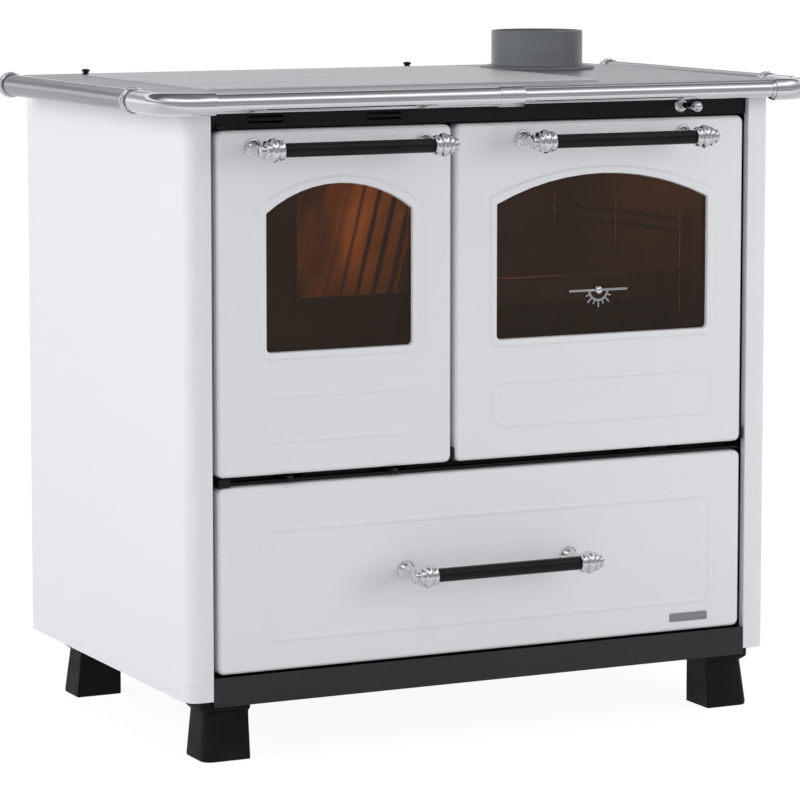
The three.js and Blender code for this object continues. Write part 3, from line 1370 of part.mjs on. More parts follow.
// ---------------------------------------------------------------- Wood drawer
function addDrawer() {
  const x = [-doorX, doorX];
  const z = [drawerBottom, drawerTop];
  const beadX = [-doorX + DRAWER_BEAD_SIDE[0], doorX - DRAWER_BEAD_SIDE[1]];
  const beadZ = [drawerBottom + DRAWER_BEAD_BOTTOM, drawerTop - DRAWER_BEAD_TOP];
  addPiece("drawer_front", joined(pressedPan(x, z), bead(beadX, beadZ, BEAD_PROUD)), ENAMEL);

  const side = drawerBox.x;
  const boxY = [DOOR_DEPTH + FIT, backPanelFront - DRAWER_TO_BACK];
  const flangeZ = drawerBox.z[0] + DRAWER_FLANGE_LEVEL;
  const shell = block([-side, side], boxY, drawerBox.z);
  const flangeX = [-side - DRAWER_FLANGE, side + DRAWER_FLANGE];
  const flanges = block(flangeX, [frameBack + 1, boxY[1]], [flangeZ, flangeZ + SHEET]);
  const hollow = block(
    [-side + SHEET, side - SHEET],
    [boxY[0] + SHEET, boxY[1] - SHEET],
    [drawerBox.z[0] + SHEET, drawerBox.z[1] + 1],
  );
  addPiece("drawer_box", cut(joined(shell, flanges), hollow), BARE_STEEL);

  addRunner("drawer_runner_left", -1, flangeZ - FIT);
  addRunner("drawer_runner_right", 1, flangeZ - FIT);
  addHandle("drawer", 0, (drawerBottom + drawerTop) / 2 - DRAWER_HANDLE_DROP, stove);
}

// An angle from the front frame to the back panel; the drawer's side flange slides on it.
function addRunner(name, side, top) {
  const inner = drawerBox.x + RUNNER_GAP;
  const outer = inner + RUNNER_WIDTH;
  const outline = [
    [inner, top - SHEET],
    [outer, top - SHEET],
    [outer, top + RUNNER_HEIGHT],
    [outer - SHEET, top + RUNNER_HEIGHT],
    [outer - SHEET, top],
    [inner, top],
  ];
  const onSide = outline.map(([x, z]) => [x * side, z]);
  addPiece(name, slabY(onSide, [behindFrame, backPanelFront - FIT]), BARE_STEEL);
}

// ---------------------------------------------------------------- Controls
// A knob and rod pull the damper disc off the flue chamber's hole.
function addBypass() {
  const wallY = flueY - FLUE_RADIUS - CHAMBER_GAP;
  const middle = [bypassX, 0, bypassZ];
  const radius = BYPASS_KNOB_RADIUS;
  const knob = turned(
    arc(0, -BYPASS_KNOB_OUT, radius, -90, 90, 8).map(([r, y]) => [Math.max(r, 0), y]),
    "y",
    middle,
  );
  const neck = rod(BYPASS_ROD_RADIUS, "y", middle, [-BYPASS_KNOB_OUT + radius - 2, wallY - FIT - 1]);
  const discY = [wallY - FIT - DAMPER_THICKNESS, wallY - FIT];
  const disc = rod(damper.radius, "y", [bypassX, 0, damper.z], discY, 24);
  addPiece("bypass_rod", joined(knob, neck, disc), CHROME);
  const face = STRIP_FRONT - FIT;
  const { radius: wide, thickness } = BYPASS_ROSETTE;
  const rosette = turned(
    [
      [BYPASS_ROD_RADIUS + FIT, face - thickness],
      [wide - thickness / 2, face - thickness],
      [wide, face - thickness / 2],
      [wide, face],
      [BYPASS_ROD_RADIUS + FIT, face],
    ],
    "y",
    middle,
  );
  addPiece("bypass_rosette", rosette, CHROME);
}

// A knob in the gap under the firebox door moves a plate behind the front frame over its air slots.
function addAirSlider(name, x) {
  const plate = block(
    [x - AIR_PLATE.half, x + AIR_PLATE.half],
    [behindFrame, behindFrame + SHEET],
    [airZ - AIR_PLATE.below, airZ + AIR_PLATE.above],
  );
  const stem = rod(AIR_STEM_RADIUS, "y", [x, 0, airZ], [-AIR_KNOB_OUT + 2, behindFrame + 1], 10);
  const knob = turned(
    arc(0, 0, AIR_KNOB_RADIUS, -90, 90, 6).map(([r, y]) => [Math.max(r, 0), y - AIR_KNOB_OUT]),
    "y",
    [x, 0, airZ],
    12,
  );
  addPiece(name, joined(plate, stem, knob), GRIP_BLACK);
}

// ---------------------------------------------------------------- The whole stove
addFeet();
addBaseFrame();
addSidePanel("side_panel_left", -1);
addSidePanel("side_panel_right", 1);
addBack();
addFrontFrame();
addFirebox();
addOvenBox();
addOvenRack("oven_rack_left", oven.x[0] + SHEET, 1);
addOvenRack("oven_rack_right", oven.x[1] - SHEET, -1);
addBakingTray();
addSmokeCasing();
addHobFrame();
addHobPlate();
addCookRing();
addFlueCollar();
addHandRail();
addFireboxDoor();
addOvenDoor();
addDrawer();
addBypass();
addAirSlider("air_slider_left", airKnobX[0]);
addAirSlider("air_slider_right", airKnobX[1]);

// The origin is on the floor, midway between the handles' fronts and the hob's back edge.
const frontmost = -HANDLE_REACH - FINIAL_RADIUS;
stove.position.y = -(frontmost + hob.y[1]) / 2;

const cookstove = new THREE.Group();
cookstove.add(stove);
export default cookstove;
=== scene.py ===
import json
import math

import bpy
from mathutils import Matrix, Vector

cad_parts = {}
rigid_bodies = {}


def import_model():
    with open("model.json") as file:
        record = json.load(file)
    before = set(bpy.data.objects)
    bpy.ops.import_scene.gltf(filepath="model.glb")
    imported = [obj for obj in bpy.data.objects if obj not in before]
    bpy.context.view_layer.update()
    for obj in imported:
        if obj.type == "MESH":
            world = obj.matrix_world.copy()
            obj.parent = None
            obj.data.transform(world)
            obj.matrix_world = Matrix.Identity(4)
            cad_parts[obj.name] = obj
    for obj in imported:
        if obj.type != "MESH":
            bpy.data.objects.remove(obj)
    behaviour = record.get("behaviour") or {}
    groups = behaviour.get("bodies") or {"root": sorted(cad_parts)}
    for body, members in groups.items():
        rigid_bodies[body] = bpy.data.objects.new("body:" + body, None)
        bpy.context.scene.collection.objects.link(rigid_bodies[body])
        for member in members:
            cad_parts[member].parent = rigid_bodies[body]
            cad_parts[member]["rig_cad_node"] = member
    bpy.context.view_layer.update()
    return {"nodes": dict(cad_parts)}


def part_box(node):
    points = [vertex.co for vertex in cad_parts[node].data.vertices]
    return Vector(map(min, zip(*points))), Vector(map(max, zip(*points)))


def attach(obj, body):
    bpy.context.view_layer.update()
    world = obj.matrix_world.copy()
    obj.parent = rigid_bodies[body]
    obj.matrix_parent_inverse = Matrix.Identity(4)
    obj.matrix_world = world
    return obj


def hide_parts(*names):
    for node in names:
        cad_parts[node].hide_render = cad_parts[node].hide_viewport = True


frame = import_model()

# The camera stands to the left of the stove and a little above the hob, far away, with a long lens.
# It looks down a little, so that the picture needs only a small shift.
camera_data = bpy.data.cameras.new("camera")
camera_data.lens = 170.2
camera_data.shift_y = -0.1
camera_data.clip_end = 100
camera = bpy.data.objects.new("camera", camera_data)
bpy.context.scene.collection.objects.link(camera)
camera.location = (-2.2695, -4.6066, 1.1110)
camera.rotation_euler = (math.radians(83.51), 0, math.radians(-26.13))
bpy.context.scene.camera = camera
bpy.context.scene.view_settings.view_transform = "Standard"

# The room is a pale floor that runs out of sight under an even sky, with soft lamps at the left, front, top
# and back. Mirrors don't see the lamps: they see lighter and darker bands in the floor and round the walls.


def tone_bands(nodes, first, last, stops):
    """A ramp between two greys, with (place, tone) stops between them."""
    bands = nodes.new("ShaderNodeValToRGB")
    bands.color_ramp.elements[0].color = (*first, 1)
    bands.color_ramp.elements[1].color = (*last, 1)
    for place, tone in stops:
        stop = bands.color_ramp.elements.new(place)
        stop.color = (tone, tone, tone * 1.02, 1)
    return bands


def seen_directly(nodes, links, ray):
    """Is 1 for what the camera sees, also through glass."""
    either = nodes.new("ShaderNodeMath")
    either.operation = "MAXIMUM"
    links.new(ray.outputs["Is Camera Ray"], either.inputs[0])
    links.new(ray.outputs["Is Transmission Ray"], either.inputs[1])
    return either.outputs[0]


def switch(nodes, links, share, usual, other):
    """Goes from the usual shader to the other one by a share."""
    mix = nodes.new("ShaderNodeMixShader")
    links.new(share, mix.inputs["Fac"])
    links.new(usual, mix.inputs[1])
    links.new(other, mix.inputs[2])
    return mix.outputs[0]


bpy.ops.object.select_all(action="DESELECT")
bpy.ops.mesh.primitive_plane_add(size=60)
floor = bpy.context.object
floor.name = "studio_floor"
floor_finish = bpy.data.materials.new("studio_floor")
floor_finish.use_nodes = True
nodes, links = floor_finish.node_tree.nodes, floor_finish.node_tree.links
floor_shader = nodes["Principled BSDF"]
floor_shader.inputs["Base Color"].default_value = (0.82, 0.82, 0.83, 1)
floor_shader.inputs["Roughness"].default_value = 0.9
floor_white = nodes.new("ShaderNodeEmission")
floor_white.inputs["Color"].default_value = (1, 1, 1, 1)
floor_white.inputs["Strength"].default_value = 1.09
spot = nodes.new("ShaderNodeTexCoord")
depth = nodes.new("ShaderNodeSeparateXYZ")
links.new(spot.outputs["Object"], depth.inputs[0])
across_floor = nodes.new("ShaderNodeMapRange")
across_floor.inputs["From Min"].default_value = -3.2
across_floor.inputs["From Max"].default_value = 0.8
links.new(depth.outputs["Y"], across_floor.inputs["Value"])
floor_bands = tone_bands(
    nodes, (0.33, 0.33, 0.34), (0.72, 0.72, 0.73), ((0.22, 0.70), (0.38, 0.86), (0.70, 0.60)),
)
links.new(across_floor.outputs["Result"], floor_bands.inputs["Fac"])
mirrored_floor = nodes.new("ShaderNodeEmission")
links.new(floor_bands.outputs["Color"], mirrored_floor.inputs["Color"])
ray = nodes.new("ShaderNodeLightPath")
white_share = nodes.new("ShaderNodeMath")
white_share.operation = "MULTIPLY"
white_share.inputs[1].default_value = 0.86
links.new(seen_directly(nodes, links, ray), white_share.inputs[0])
seen_floor = switch(nodes, links, white_share.outputs[0], floor_shader.outputs[0], floor_white.outputs[0])
whole_floor = switch(nodes, links, ray.outputs["Is Glossy Ray"], seen_floor, mirrored_floor.outputs[0])
links.new(whole_floor, nodes["Material Output"].inputs["Surface"])
floor.data.materials.append(floor_finish)

world = bpy.data.worlds.new("studio")
bpy.context.scene.world = world
world.use_nodes = True
nodes, links = world.node_tree.nodes, world.node_tree.links
sky = nodes["Background"]
sky.inputs["Color"].default_value = (1, 1, 1, 1)
sky.inputs["Strength"].default_value = 0.56
white = nodes.new("ShaderNodeBackground")
white.inputs["Color"].default_value = (1, 1, 1, 1)
white.inputs["Strength"].default_value = 1.05
mirrored = nodes.new("ShaderNodeBackground")
mirrored.inputs["Strength"].default_value = 1.6
direction = nodes.new("ShaderNodeTexCoord")
height = nodes.new("ShaderNodeSeparateXYZ")
links.new(direction.outputs["Generated"], height.inputs[0])
front_wall = tone_bands(
    nodes, (0.31, 0.31, 0.315), (0.125, 0.125, 0.13),
    ((0.10, 0.21), (0.27, 0.18), (0.45, 0.30), (0.60, 0.70), (0.70, 1.00), (0.82, 0.44), (0.89, 0.20)),
)
back_wall = tone_bands(
    nodes, (0.63, 0.63, 0.64), (0.125, 0.125, 0.13),
    ((0.14, 0.62), (0.23, 0.29), (0.36, 0.27), (0.42, 0.64), (0.47, 0.64), (0.56, 0.09), (0.80, 0.075)),
)
from_front_to_back = nodes.new("ShaderNodeMapRange")
from_front_to_back.interpolation_type = "SMOOTHSTEP"
from_front_to_back.inputs["From Min"].default_value = -0.25
from_front_to_back.inputs["From Max"].default_value = 0.45
links.new(height.outputs["Y"], from_front_to_back.inputs["Value"])
walls = nodes.new("ShaderNodeMix")
walls.data_type = "RGBA"
# A colour mix takes its share in socket 0 and its colours in 6 and 7, and gives its result in 2.
links.new(from_front_to_back.outputs["Result"], walls.inputs[0])
for wall, socket in ((front_wall, 6), (back_wall, 7)):
    links.new(height.outputs["Z"], wall.inputs["Fac"])
    links.new(wall.outputs["Color"], walls.inputs[socket])
links.new(walls.outputs[2], mirrored.inputs["Color"])
ray = nodes.new("ShaderNodeLightPath")
seen_sky = switch(nodes, links, seen_directly(nodes, links, ray), sky.outputs[0], white.outputs[0])
whole_sky = switch(nodes, links, ray.outputs["Is Glossy Ray"], seen_sky, mirrored.outputs[0])
links.new(whole_sky, nodes["World Output"].inputs["Surface"])

aim_height = 0.45
for lamp_name, place, width, power in (
    ("lamp_left", (-3.9, -0.25, 1.9), 2.4, 78),
    ("lamp_front", (3.0, -3.7, 1.1), 2.6, 74),
    ("lamp_top", (0.3, 0.9, 3.4), 2.2, 14),
    ("lamp_back", (1.8, 3.0, 2.2), 2.4, 24),
):
    lamp = bpy.data.lights.new(lamp_name, "AREA")
    lamp.size = width
    lamp.energy = power
    holder = bpy.data.objects.new(lamp_name, lamp)
    bpy.context.scene.collection.objects.link(holder)
    holder.visible_glossy = False
    holder.visible_transmission = False
    holder.location = place
    aim = -holder.location
    aim.z += aim_height
    holder.rotation_euler = aim.to_track_quat("-Z", "Y").to_euler()

# Two small warm lamps stand for the glow inside, so that the windows show the firebox and the oven.
# Each hangs high up inside its chamber, behind the window.
for glow_name, place, power in (
    ("glow_in_firebox", (-0.216, -0.06, 0.70), 0.7),
    ("glow_in_oven", (0.165, -0.05, 0.745), 0.9),
):
    glow = bpy.data.lights.new(glow_name, "POINT")
    glow.energy = power
    glow.color = (1.0, 0.62, 0.36)
    glow.shadow_soft_size = 0.02
    holder = bpy.data.objects.new(glow_name, glow)
    bpy.context.scene.collection.objects.link(holder)
    holder.location = place

# The four feet are hollow castings in black heat-proof paint, bolted under the floor pan. Each has a
# cap, a drawn-in neck, and two outward faces that spread towards the floor.


def new_finish(name, colour, metallic, roughness, coat=0.0, shine=0.5):
    """A material of one plain shade, ready for its grain."""
    finish = bpy.data.materials.new(name)
    finish.use_nodes = True
    shader = finish.node_tree.nodes["Principled BSDF"]
    shader.inputs["Base Color"].default_value = (*colour, 1)
    shader.inputs["Metallic"].default_value = metallic
    shader.inputs["Roughness"].default_value = roughness
    shader.inputs["Specular IOR Level"].default_value = shine
    shader.inputs["Coat Weight"].default_value = coat
    shader.inputs["Coat Roughness"].default_value = 0.06
    return finish


def noise_of(finish, scale, detail, stretch):
    """Noise over the object's own metres, drawn out along an axis where stretch is small."""
    nodes, links = finish.node_tree.nodes, finish.node_tree.links
    coordinates = nodes.new("ShaderNodeTexCoord")
    mapping = nodes.new("ShaderNodeMapping")
    mapping.inputs["Scale"].default_value = stretch
    links.new(coordinates.outputs["Object"], mapping.inputs["Vector"])
    noise = nodes.new("ShaderNodeTexNoise")
    noise.inputs["Scale"].default_value = scale
    noise.inputs["Detail"].default_value = detail
    links.new(mapping.outputs["Vector"], noise.inputs["Vector"])
    return noise


def add_grain(finish, scale, strength, depth, detail=3.0, stretch=(1, 1, 1)):
    """Raises the surface by a noise; each call adds one more layer."""
    nodes, links = finish.node_tree.nodes, finish.node_tree.links
    shader = nodes["Principled BSDF"]
    bump = nodes.new("ShaderNodeBump")
    bump.inputs["Strength"].default_value = strength
    bump.inputs["Distance"].default_value = depth
    links.new(noise_of(finish, scale, detail, stretch).outputs["Fac"], bump.inputs["Height"])
    before = shader.inputs["Normal"].links
    if before:
        links.new(before[0].from_socket, bump.inputs["Normal"])
    links.new(bump.outputs["Normal"], shader.inputs["Normal"])


def add_shades(finish, dark, light, scale, low=0.28, high=0.72, detail=3.0, stretch=(1, 1, 1)):
    """Lets the colour drift between two shades."""
    nodes, links = finish.node_tree.nodes, finish.node_tree.links
    ramp = nodes.new("ShaderNodeValToRGB")
    ramp.color_ramp.interpolation = "EASE"
    ramp.color_ramp.elements[0].position = low
    ramp.color_ramp.elements[0].color = (*dark, 1)
    ramp.color_ramp.elements[1].position = high
    ramp.color_ramp.elements[1].color = (*light, 1)
    links.new(noise_of(finish, scale, detail, stretch).outputs["Fac"], ramp.inputs["Fac"])
    links.new(ramp.outputs["Color"], nodes["Principled BSDF"].inputs["Base Color"])


def add_gloss(finish, low, high, scale, detail=3.0, stretch=(1, 1, 1)):
    """Lets the roughness drift between two values."""
    nodes, links = finish.node_tree.nodes, finish.node_tree.links
    span = nodes.new("ShaderNodeMapRange")
    span.interpolation_type = "SMOOTHSTEP"
    span.inputs["From Min"].default_value = 0.2
    span.inputs["From Max"].default_value = 0.8
    span.inputs["To Min"].default_value = low
    span.inputs["To Max"].default_value = high
    links.new(noise_of(finish, scale, detail, stretch).outputs["Fac"], span.inputs["Value"])
    links.new(span.outputs["Result"], nodes["Principled BSDF"].inputs["Roughness"])


def pick(piece):
    """Selects this piece alone and makes it the active one."""
    bpy.ops.object.select_all(action="DESELECT")
    piece.select_set(True)
    bpy.context.view_layer.objects.active = piece


def edit(piece):
    """Goes into edit mode with everything of this piece selected, and nothing else."""
    pick(piece)
    bpy.ops.object.mode_set(mode="EDIT")
    bpy.ops.mesh.select_mode(type="VERT")
    bpy.ops.mesh.select_all(action="SELECT")


def round_edges(piece, width, segments=3, angle=30):
    """Rounds every edge sharper than the angle, and leaves the flats flat."""
    bevel = piece.modifiers.new("rounding", "BEVEL")
    bevel.width = width
    bevel.segments = segments
    bevel.limit_method = "ANGLE"
    bevel.angle_limit = math.radians(angle)
    bevel.use_clamp_overlap = True
    bevel.miter_outer = "MITER_ARC"
    bpy.context.view_layer.objects.active = piece
    bpy.ops.object.modifier_apply(modifier=bevel.name)


def shade(piece, angle=38):
    """Smooth over gentle edges, sharp over hard ones, with the large flats kept flat."""
    pick(piece)
    bpy.ops.object.shade_smooth_by_angle(angle=math.radians(angle))
    weigh = piece.modifiers.new("flats", "WEIGHTED_NORMAL")
    weigh.keep_sharp = True
    weigh.weight = 80
    bpy.ops.object.modifier_apply(modifier=weigh.name)


def settle(piece, name, body, slot, finish, *stands_for):
    """Names the piece, gives it its finish and its CAD body."""
    piece.name = name
    piece.data.name = name
    piece.data.materials.clear()
    piece.data.materials.append(finish)
    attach(piece, body)
    if stands_for:
        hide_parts(*stands_for)


def join_flats(piece):
    """Makes each flat face whole again, and splits it only where it is concave."""
    edit(piece)
    bpy.ops.mesh.dissolve_limited(angle_limit=math.radians(0.5))
    bpy.ops.mesh.vert_connect_concave()
    bpy.ops.object.mode_set(mode="OBJECT")


def copy_of(node):
    """A merged copy of a CAD node's mesh."""
    pick(frame["nodes"][node])
    bpy.ops.object.duplicate()
    piece = bpy.context.object
    bpy.ops.object.parent_clear(type="CLEAR_KEEP_TRANSFORM")
    del piece["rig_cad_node"]
    edit(piece)
    bpy.ops.mesh.remove_doubles(threshold=0.00001)
    bpy.ops.object.mode_set(mode="OBJECT")
    join_flats(piece)
    return piece


def soften(node, name, width, body, slot, finish, segments=3, angle=30):
    """A CAD node's copy with rounded edges, which then stands for it."""
    piece = copy_of(node)
    round_edges(piece, width, segments, angle)
    shade(piece)
    settle(piece, name, body, slot, finish, node)


cast_black = new_finish("cast_black_paint", (0.007, 0.007, 0.0075), 0.0, 0.5, shine=0.14)
add_shades(cast_black, (0.005, 0.005, 0.0055), (0.009, 0.009, 0.010), 14)
add_gloss(cast_black, 0.42, 0.6, 30)
add_grain(cast_black, 420, 0.25, 0.0006)
add_grain(cast_black, 60, 0.12, 0.001)
for foot in ("foot_front_left", "foot_front_right", "foot_rear_left", "foot_rear_right"):
    soften(foot, foot + "_casting", 0.0016, "stove_body", "black_paint", cast_black)

# The floor pan is folded from thick sheet and painted charcoal. It carries the body on the four feet, and
# its front edge hangs down as a plinth.
charcoal = new_finish("charcoal_paint", (0.024, 0.026, 0.029), 0.0, 0.45, shine=0.35)
add_shades(charcoal, (0.018, 0.0185, 0.021), (0.024, 0.025, 0.028), 5)
add_gloss(charcoal, 0.4, 0.52, 24)
add_grain(charcoal, 700, 0.12, 0.0004)
soften("base_frame", "floor_pan", 0.0008, "stove_body", "plinth_paint", charcoal)

# The side panels are steel sheet in white vitreous enamel. The front corner is rolled to a wide radius,
# and the strip beside the doors folds back in a hem.
enamel = new_finish("white_enamel", (0.76, 0.765, 0.785), 0.0, 0.3, coat=0.25)
add_shades(enamel, (0.756, 0.761, 0.782), (0.764, 0.769, 0.790), 1.6, low=0.05, high=0.95, detail=1.0)
add_gloss(enamel, 0.27, 0.33, 3, detail=1.0)
add_grain(enamel, 90, 0.03, 0.0003, detail=1.0)
add_grain(enamel, 520, 0.02, 0.0002, detail=1.0)
for panel in ("side_panel_left", "side_panel_right"):
    soften(panel, panel + "_enamelled", 0.0007, "stove_body", "white_enamel", enamel)

# The back panel is a plain black sheet with pressed cooling slots, held by a row of pan-head screws.
# The round cover on it closes the spare flue outlet.


def turned(rings, at, axis="z", sides=64, tube=False, angle=32):
    """Turns (radius, height) rings about an axis; a tube's last ring closes on its first."""
    radius, height = rings[0]
    bpy.ops.object.select_all(action="DESELECT")
    bpy.ops.mesh.primitive_circle_add(vertices=sides, radius=radius, location=(0, 0, 0))
    piece = bpy.context.object
    edit(piece)
    bpy.ops.transform.translate(value=(0, 0, height))
    for wide, high in rings[1:] + (rings[:1] if tube else []):
        bpy.ops.mesh.extrude_region_move(TRANSFORM_OT_translate={"value": (0, 0, high - height)})
        grow = wide / radius
        bpy.ops.transform.resize(value=(grow, grow, 1), center_override=(0, 0, high))
        radius, height = wide, high
    bpy.ops.mesh.select_all(action="SELECT")
    if tube:
        bpy.ops.mesh.remove_doubles(threshold=0.000002)
    else:
        bpy.ops.mesh.fill_holes(sides=0)
    bpy.ops.mesh.select_all(action="SELECT")
    bpy.ops.mesh.normals_make_consistent(inside=False)
    bpy.ops.object.mode_set(mode="OBJECT")
    if axis == "y":
        piece.rotation_euler = (math.radians(-90), 0, 0)
    if axis == "x":
        piece.rotation_euler = (0, math.radians(90), 0)
    piece.location = at
    bpy.ops.object.transform_apply(location=True, rotation=True, scale=True)
    bpy.ops.object.shade_smooth_by_angle(angle=math.radians(angle))
    return piece


def join(first, *others):
    """Puts several meshes into one piece."""
    pick(first)
    for piece in others:
        piece.select_set(True)
    bpy.ops.object.join()
    return first


def repeat(piece, shifts):
    """Joins a piece with copies of it, each with a mesh of its own and moved by one shift."""
    copies = []
    for shift in shifts:
        pick(piece)
        bpy.ops.object.duplicate()
        bpy.context.object.location = shift
        bpy.ops.object.transform_apply(location=True, rotation=True, scale=True)
        copies.append(bpy.context.object)
    return join(piece, *copies)


def dome(radius, height, steps=6):
    """Rings of a rounded cap, from its rim nearly to its top."""
    turns = [math.radians(86 * i / steps) for i in range(steps + 1)]
    return [(radius * math.cos(turn), height * math.sin(turn)) for turn in turns]


satin_black = new_finish("satin_black_paint", (0.009, 0.0095, 0.011), 0.0, 0.42, shine=0.22)
add_shades(satin_black, (0.0065, 0.007, 0.008), (0.0105, 0.011, 0.0125), 7)
add_gloss(satin_black, 0.36, 0.5, 18)
add_grain(satin_black, 900, 0.1, 0.0003)
zinc = new_finish("zinc_plate", (0.5, 0.51, 0.52), 1.0, 0.4)
add_shades(zinc, (0.42, 0.43, 0.45), (0.58, 0.59, 0.60), 46, detail=1.0)
add_gloss(zinc, 0.3, 0.5, 60)
add_grain(zinc, 600, 0.08, 0.0003)
soften("back_panel", "back_sheet", 0.0004, "stove_body", "black_paint", satin_black)
cover_low, cover_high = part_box("rear_outlet_cover")
cover_at = ((cover_low.x + cover_high.x) / 2, cover_low.y, (cover_low.z + cover_high.z) / 2)
cover_radius = (cover_high.x - cover_low.x) / 2
cover_rings = [(cover_radius - 0.0006, 0.0), (cover_radius, 0.0006), (cover_radius - 0.0004, 0.0014),
               (0.064, 0.0014), (0.062, 0.0019), (0.058, 0.0019), (0.056, 0.0013), (0.018, 0.0013),
               (0.016, 0.0018), (0.004, 0.0019)]
cover = turned(cover_rings, cover_at, axis="y", sides=96)
settle(cover, "outlet_cover_pressing", "stove_body", "black_paint", satin_black, "rear_outlet_cover")
back_low, back_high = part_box("back_panel")
screw_radius, screw_rise, sunk = 0.0042, 0.0019, 0.0001
lowest_row, highest_row = back_low.z + 0.016, back_high.z - 0.03
screw_spots = [(x, z) for x in (-0.39, -0.13, 0.13, 0.39) for z in (lowest_row, highest_row)]
screw_spots += [(x, z) for x in (-0.41, 0.41) for z in (0.35, 0.6)]
first_x, first_z = screw_spots[0]
screw_rings = [(screw_radius, 0.0)] + dome(screw_radius, screw_rise)
screw = turned(screw_rings, (first_x, back_high.y - sunk, first_z), axis="y", sides=16)
screws = repeat(screw, [(x - first_x, 0, z - first_z) for x, z in screw_spots[1:]])
settle(screws, "back_screws", "stove_body", "bare_steel", zinc)

# The front frame is a thick black plate with the mouths of the firebox, ash pan, oven and drawer cut in it.
# It carries the slotted strip above the doors, the thin bar below them, and the hinge lugs.
soften("front_frame", "front_frame_welded", 0.0005, "stove_body", "black_paint", satin_black, segments=2)

# The firebox is a welded sheet box, brown-black from smoke. Ribbed fire-clay slabs line it, and a cast
# grate lies between them over the ash pan.
smoked_steel = new_finish("smoked_steel", (0.03, 0.021, 0.014), 0.2, 0.75)
add_shades(smoked_steel, (0.016, 0.011, 0.008), (0.05, 0.034, 0.022), 11)
add_gloss(smoked_steel, 0.6, 0.85, 20)
add_grain(smoked_steel, 180, 0.3, 0.0008)
fire_clay = new_finish("fire_clay", (0.16, 0.09, 0.045), 0.0, 0.88)
add_shades(fire_clay, (0.07, 0.038, 0.018), (0.24, 0.14, 0.07), 9)
add_grain(fire_clay, 240, 0.5, 0.001)
add_grain(fire_clay, 30, 0.2, 0.002)
cast_iron = new_finish("cast_iron", (0.03, 0.028, 0.026), 0.5, 0.7)
add_shades(cast_iron, (0.022, 0.02, 0.018), (0.045, 0.04, 0.035), 22)
add_gloss(cast_iron, 0.55, 0.8, 40)
add_grain(cast_iron, 260, 0.5, 0.0008)
soften("firebox_casing", "firebox_shell", 0.0006, "stove_body", "soot_steel", smoked_steel)
for liner in ("firebox_liner_left", "firebox_liner_right", "firebox_liner_back"):
    soften(liner, liner + "_brick", 0.0012, "stove_body", "fire_clay", fire_clay)
soften("grate", "grate_casting", 0.0012, "stove_body", "cast_iron", cast_iron)
soften("ash_pan", "ash_pan_folded", 0.0005, "stove_body", "bare_steel", zinc)

# The oven is a box of dark-enamelled sheet inside the smoke casing. Chromed wire racks hang on its walls,
# and the baking tray rests on their runs.
oven_enamel = new_finish("dark_oven_enamel", (0.05, 0.038, 0.028), 0.0, 0.45)
add_shades(oven_enamel, (0.04, 0.03, 0.022), (0.065, 0.05, 0.037), 4)
add_gloss(oven_enamel, 0.4, 0.54, 14)
add_grain(oven_enamel, 120, 0.06, 0.0005)
chrome = new_finish("polished_chrome", (0.78, 0.785, 0.80), 1.0, 0.05)
add_gloss(chrome, 0.035, 0.085, 60)
add_grain(chrome, 140, 0.015, 0.0003)
soften("oven_box", "oven_lining", 0.0008, "stove_body", "oven_steel", oven_enamel)
soften("smoke_casing", "smoke_casing_welded", 0.0006, "stove_body", "soot_steel", smoked_steel)


def wire(radius, start, end, sides=14):
    """A straight wire between two points that differ along one axis, with rounded ends."""
    along = max(range(3), key=lambda k: abs(end[k] - start[k]))
    first = start if start[along] < end[along] else end
    length = abs(end[along] - start[along])
    tip = radius * 0.4
    rings = [(radius - tip, 0), (radius, tip), (radius, length - tip), (radius - tip, length)]
    return turned(rings, first, axis="xyz"[along], sides=sides)


rack_wire, upright_gap, upright_inset, hook_inset = 0.002, 0.0077, 0.003, 0.008
for rack, inward in (("oven_rack_left", 1), ("oven_rack_right", -1)):
    low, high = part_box(rack)
    wall_x, inner_x = (low.x, high.x) if inward > 0 else (high.x, low.x)
    upright_x, run_x = wall_x + inward * upright_gap, inner_x - inward * rack_wire
    first_y, last_y = low.y + upright_inset, high.y - upright_inset
    wires = []
    for y in (first_y, (first_y + last_y) / 2, last_y):
        wires.append(wire(rack_wire, (upright_x, y, low.z), (upright_x, y, high.z)))
        for z in (low.z + hook_inset, high.z - hook_inset):
            wires.append(wire(rack_wire, (wall_x, y, z), (upright_x, y, z)))
    for rise in (0.055, 0.070, 0.128, 0.143):
        wires.append(wire(rack_wire, (run_x, low.y, low.z + rise), (run_x, high.y, low.z + rise)))
    settle(join(*wires), rack + "_wires", "stove_body", "chrome", chrome, rack)
soften("baking_tray", "baking_tray_pressed", 0.0012, "stove_body", "cast_iron", oven_enamel)

# The hob is a pressed stainless frame round a ground steel plate. Over the fire the plate takes a ring
# and a lid, each let into the next on a step. Two dark studs stand on the frame's rear edge.
hob_steel = new_finish("satin_hob_steel", (0.52, 0.54, 0.55), 1.0, 0.36)
add_shades(hob_steel, (0.48, 0.50, 0.51), (0.56, 0.58, 0.59), 3, stretch=(1, 6, 1))
add_gloss(hob_steel, 0.3, 0.42, 6, stretch=(2, 60, 60))
add_grain(hob_steel, 7, 0.10, 0.0003, stretch=(2, 240, 240))
plate_steel = new_finish("ground_plate_steel", (0.92, 0.93, 0.94), 1.0, 0.42)
add_shades(plate_steel, (0.89, 0.90, 0.91), (0.95, 0.96, 0.97), 5, stretch=(1, 4, 1))
add_gloss(plate_steel, 0.36, 0.5, 6, stretch=(2, 50, 50))
add_grain(plate_steel, 7, 0.12, 0.0004, stretch=(2, 220, 220))
soften("hob_frame", "hob_frame_pressed", 0.0012, "stove_body", "hob_steel", hob_steel, segments=4)
soften("hob_plate", "hob_plate_ground", 0.0008, "stove_body", "hob_steel", plate_steel)
ring_low, ring_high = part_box("hob_ring")
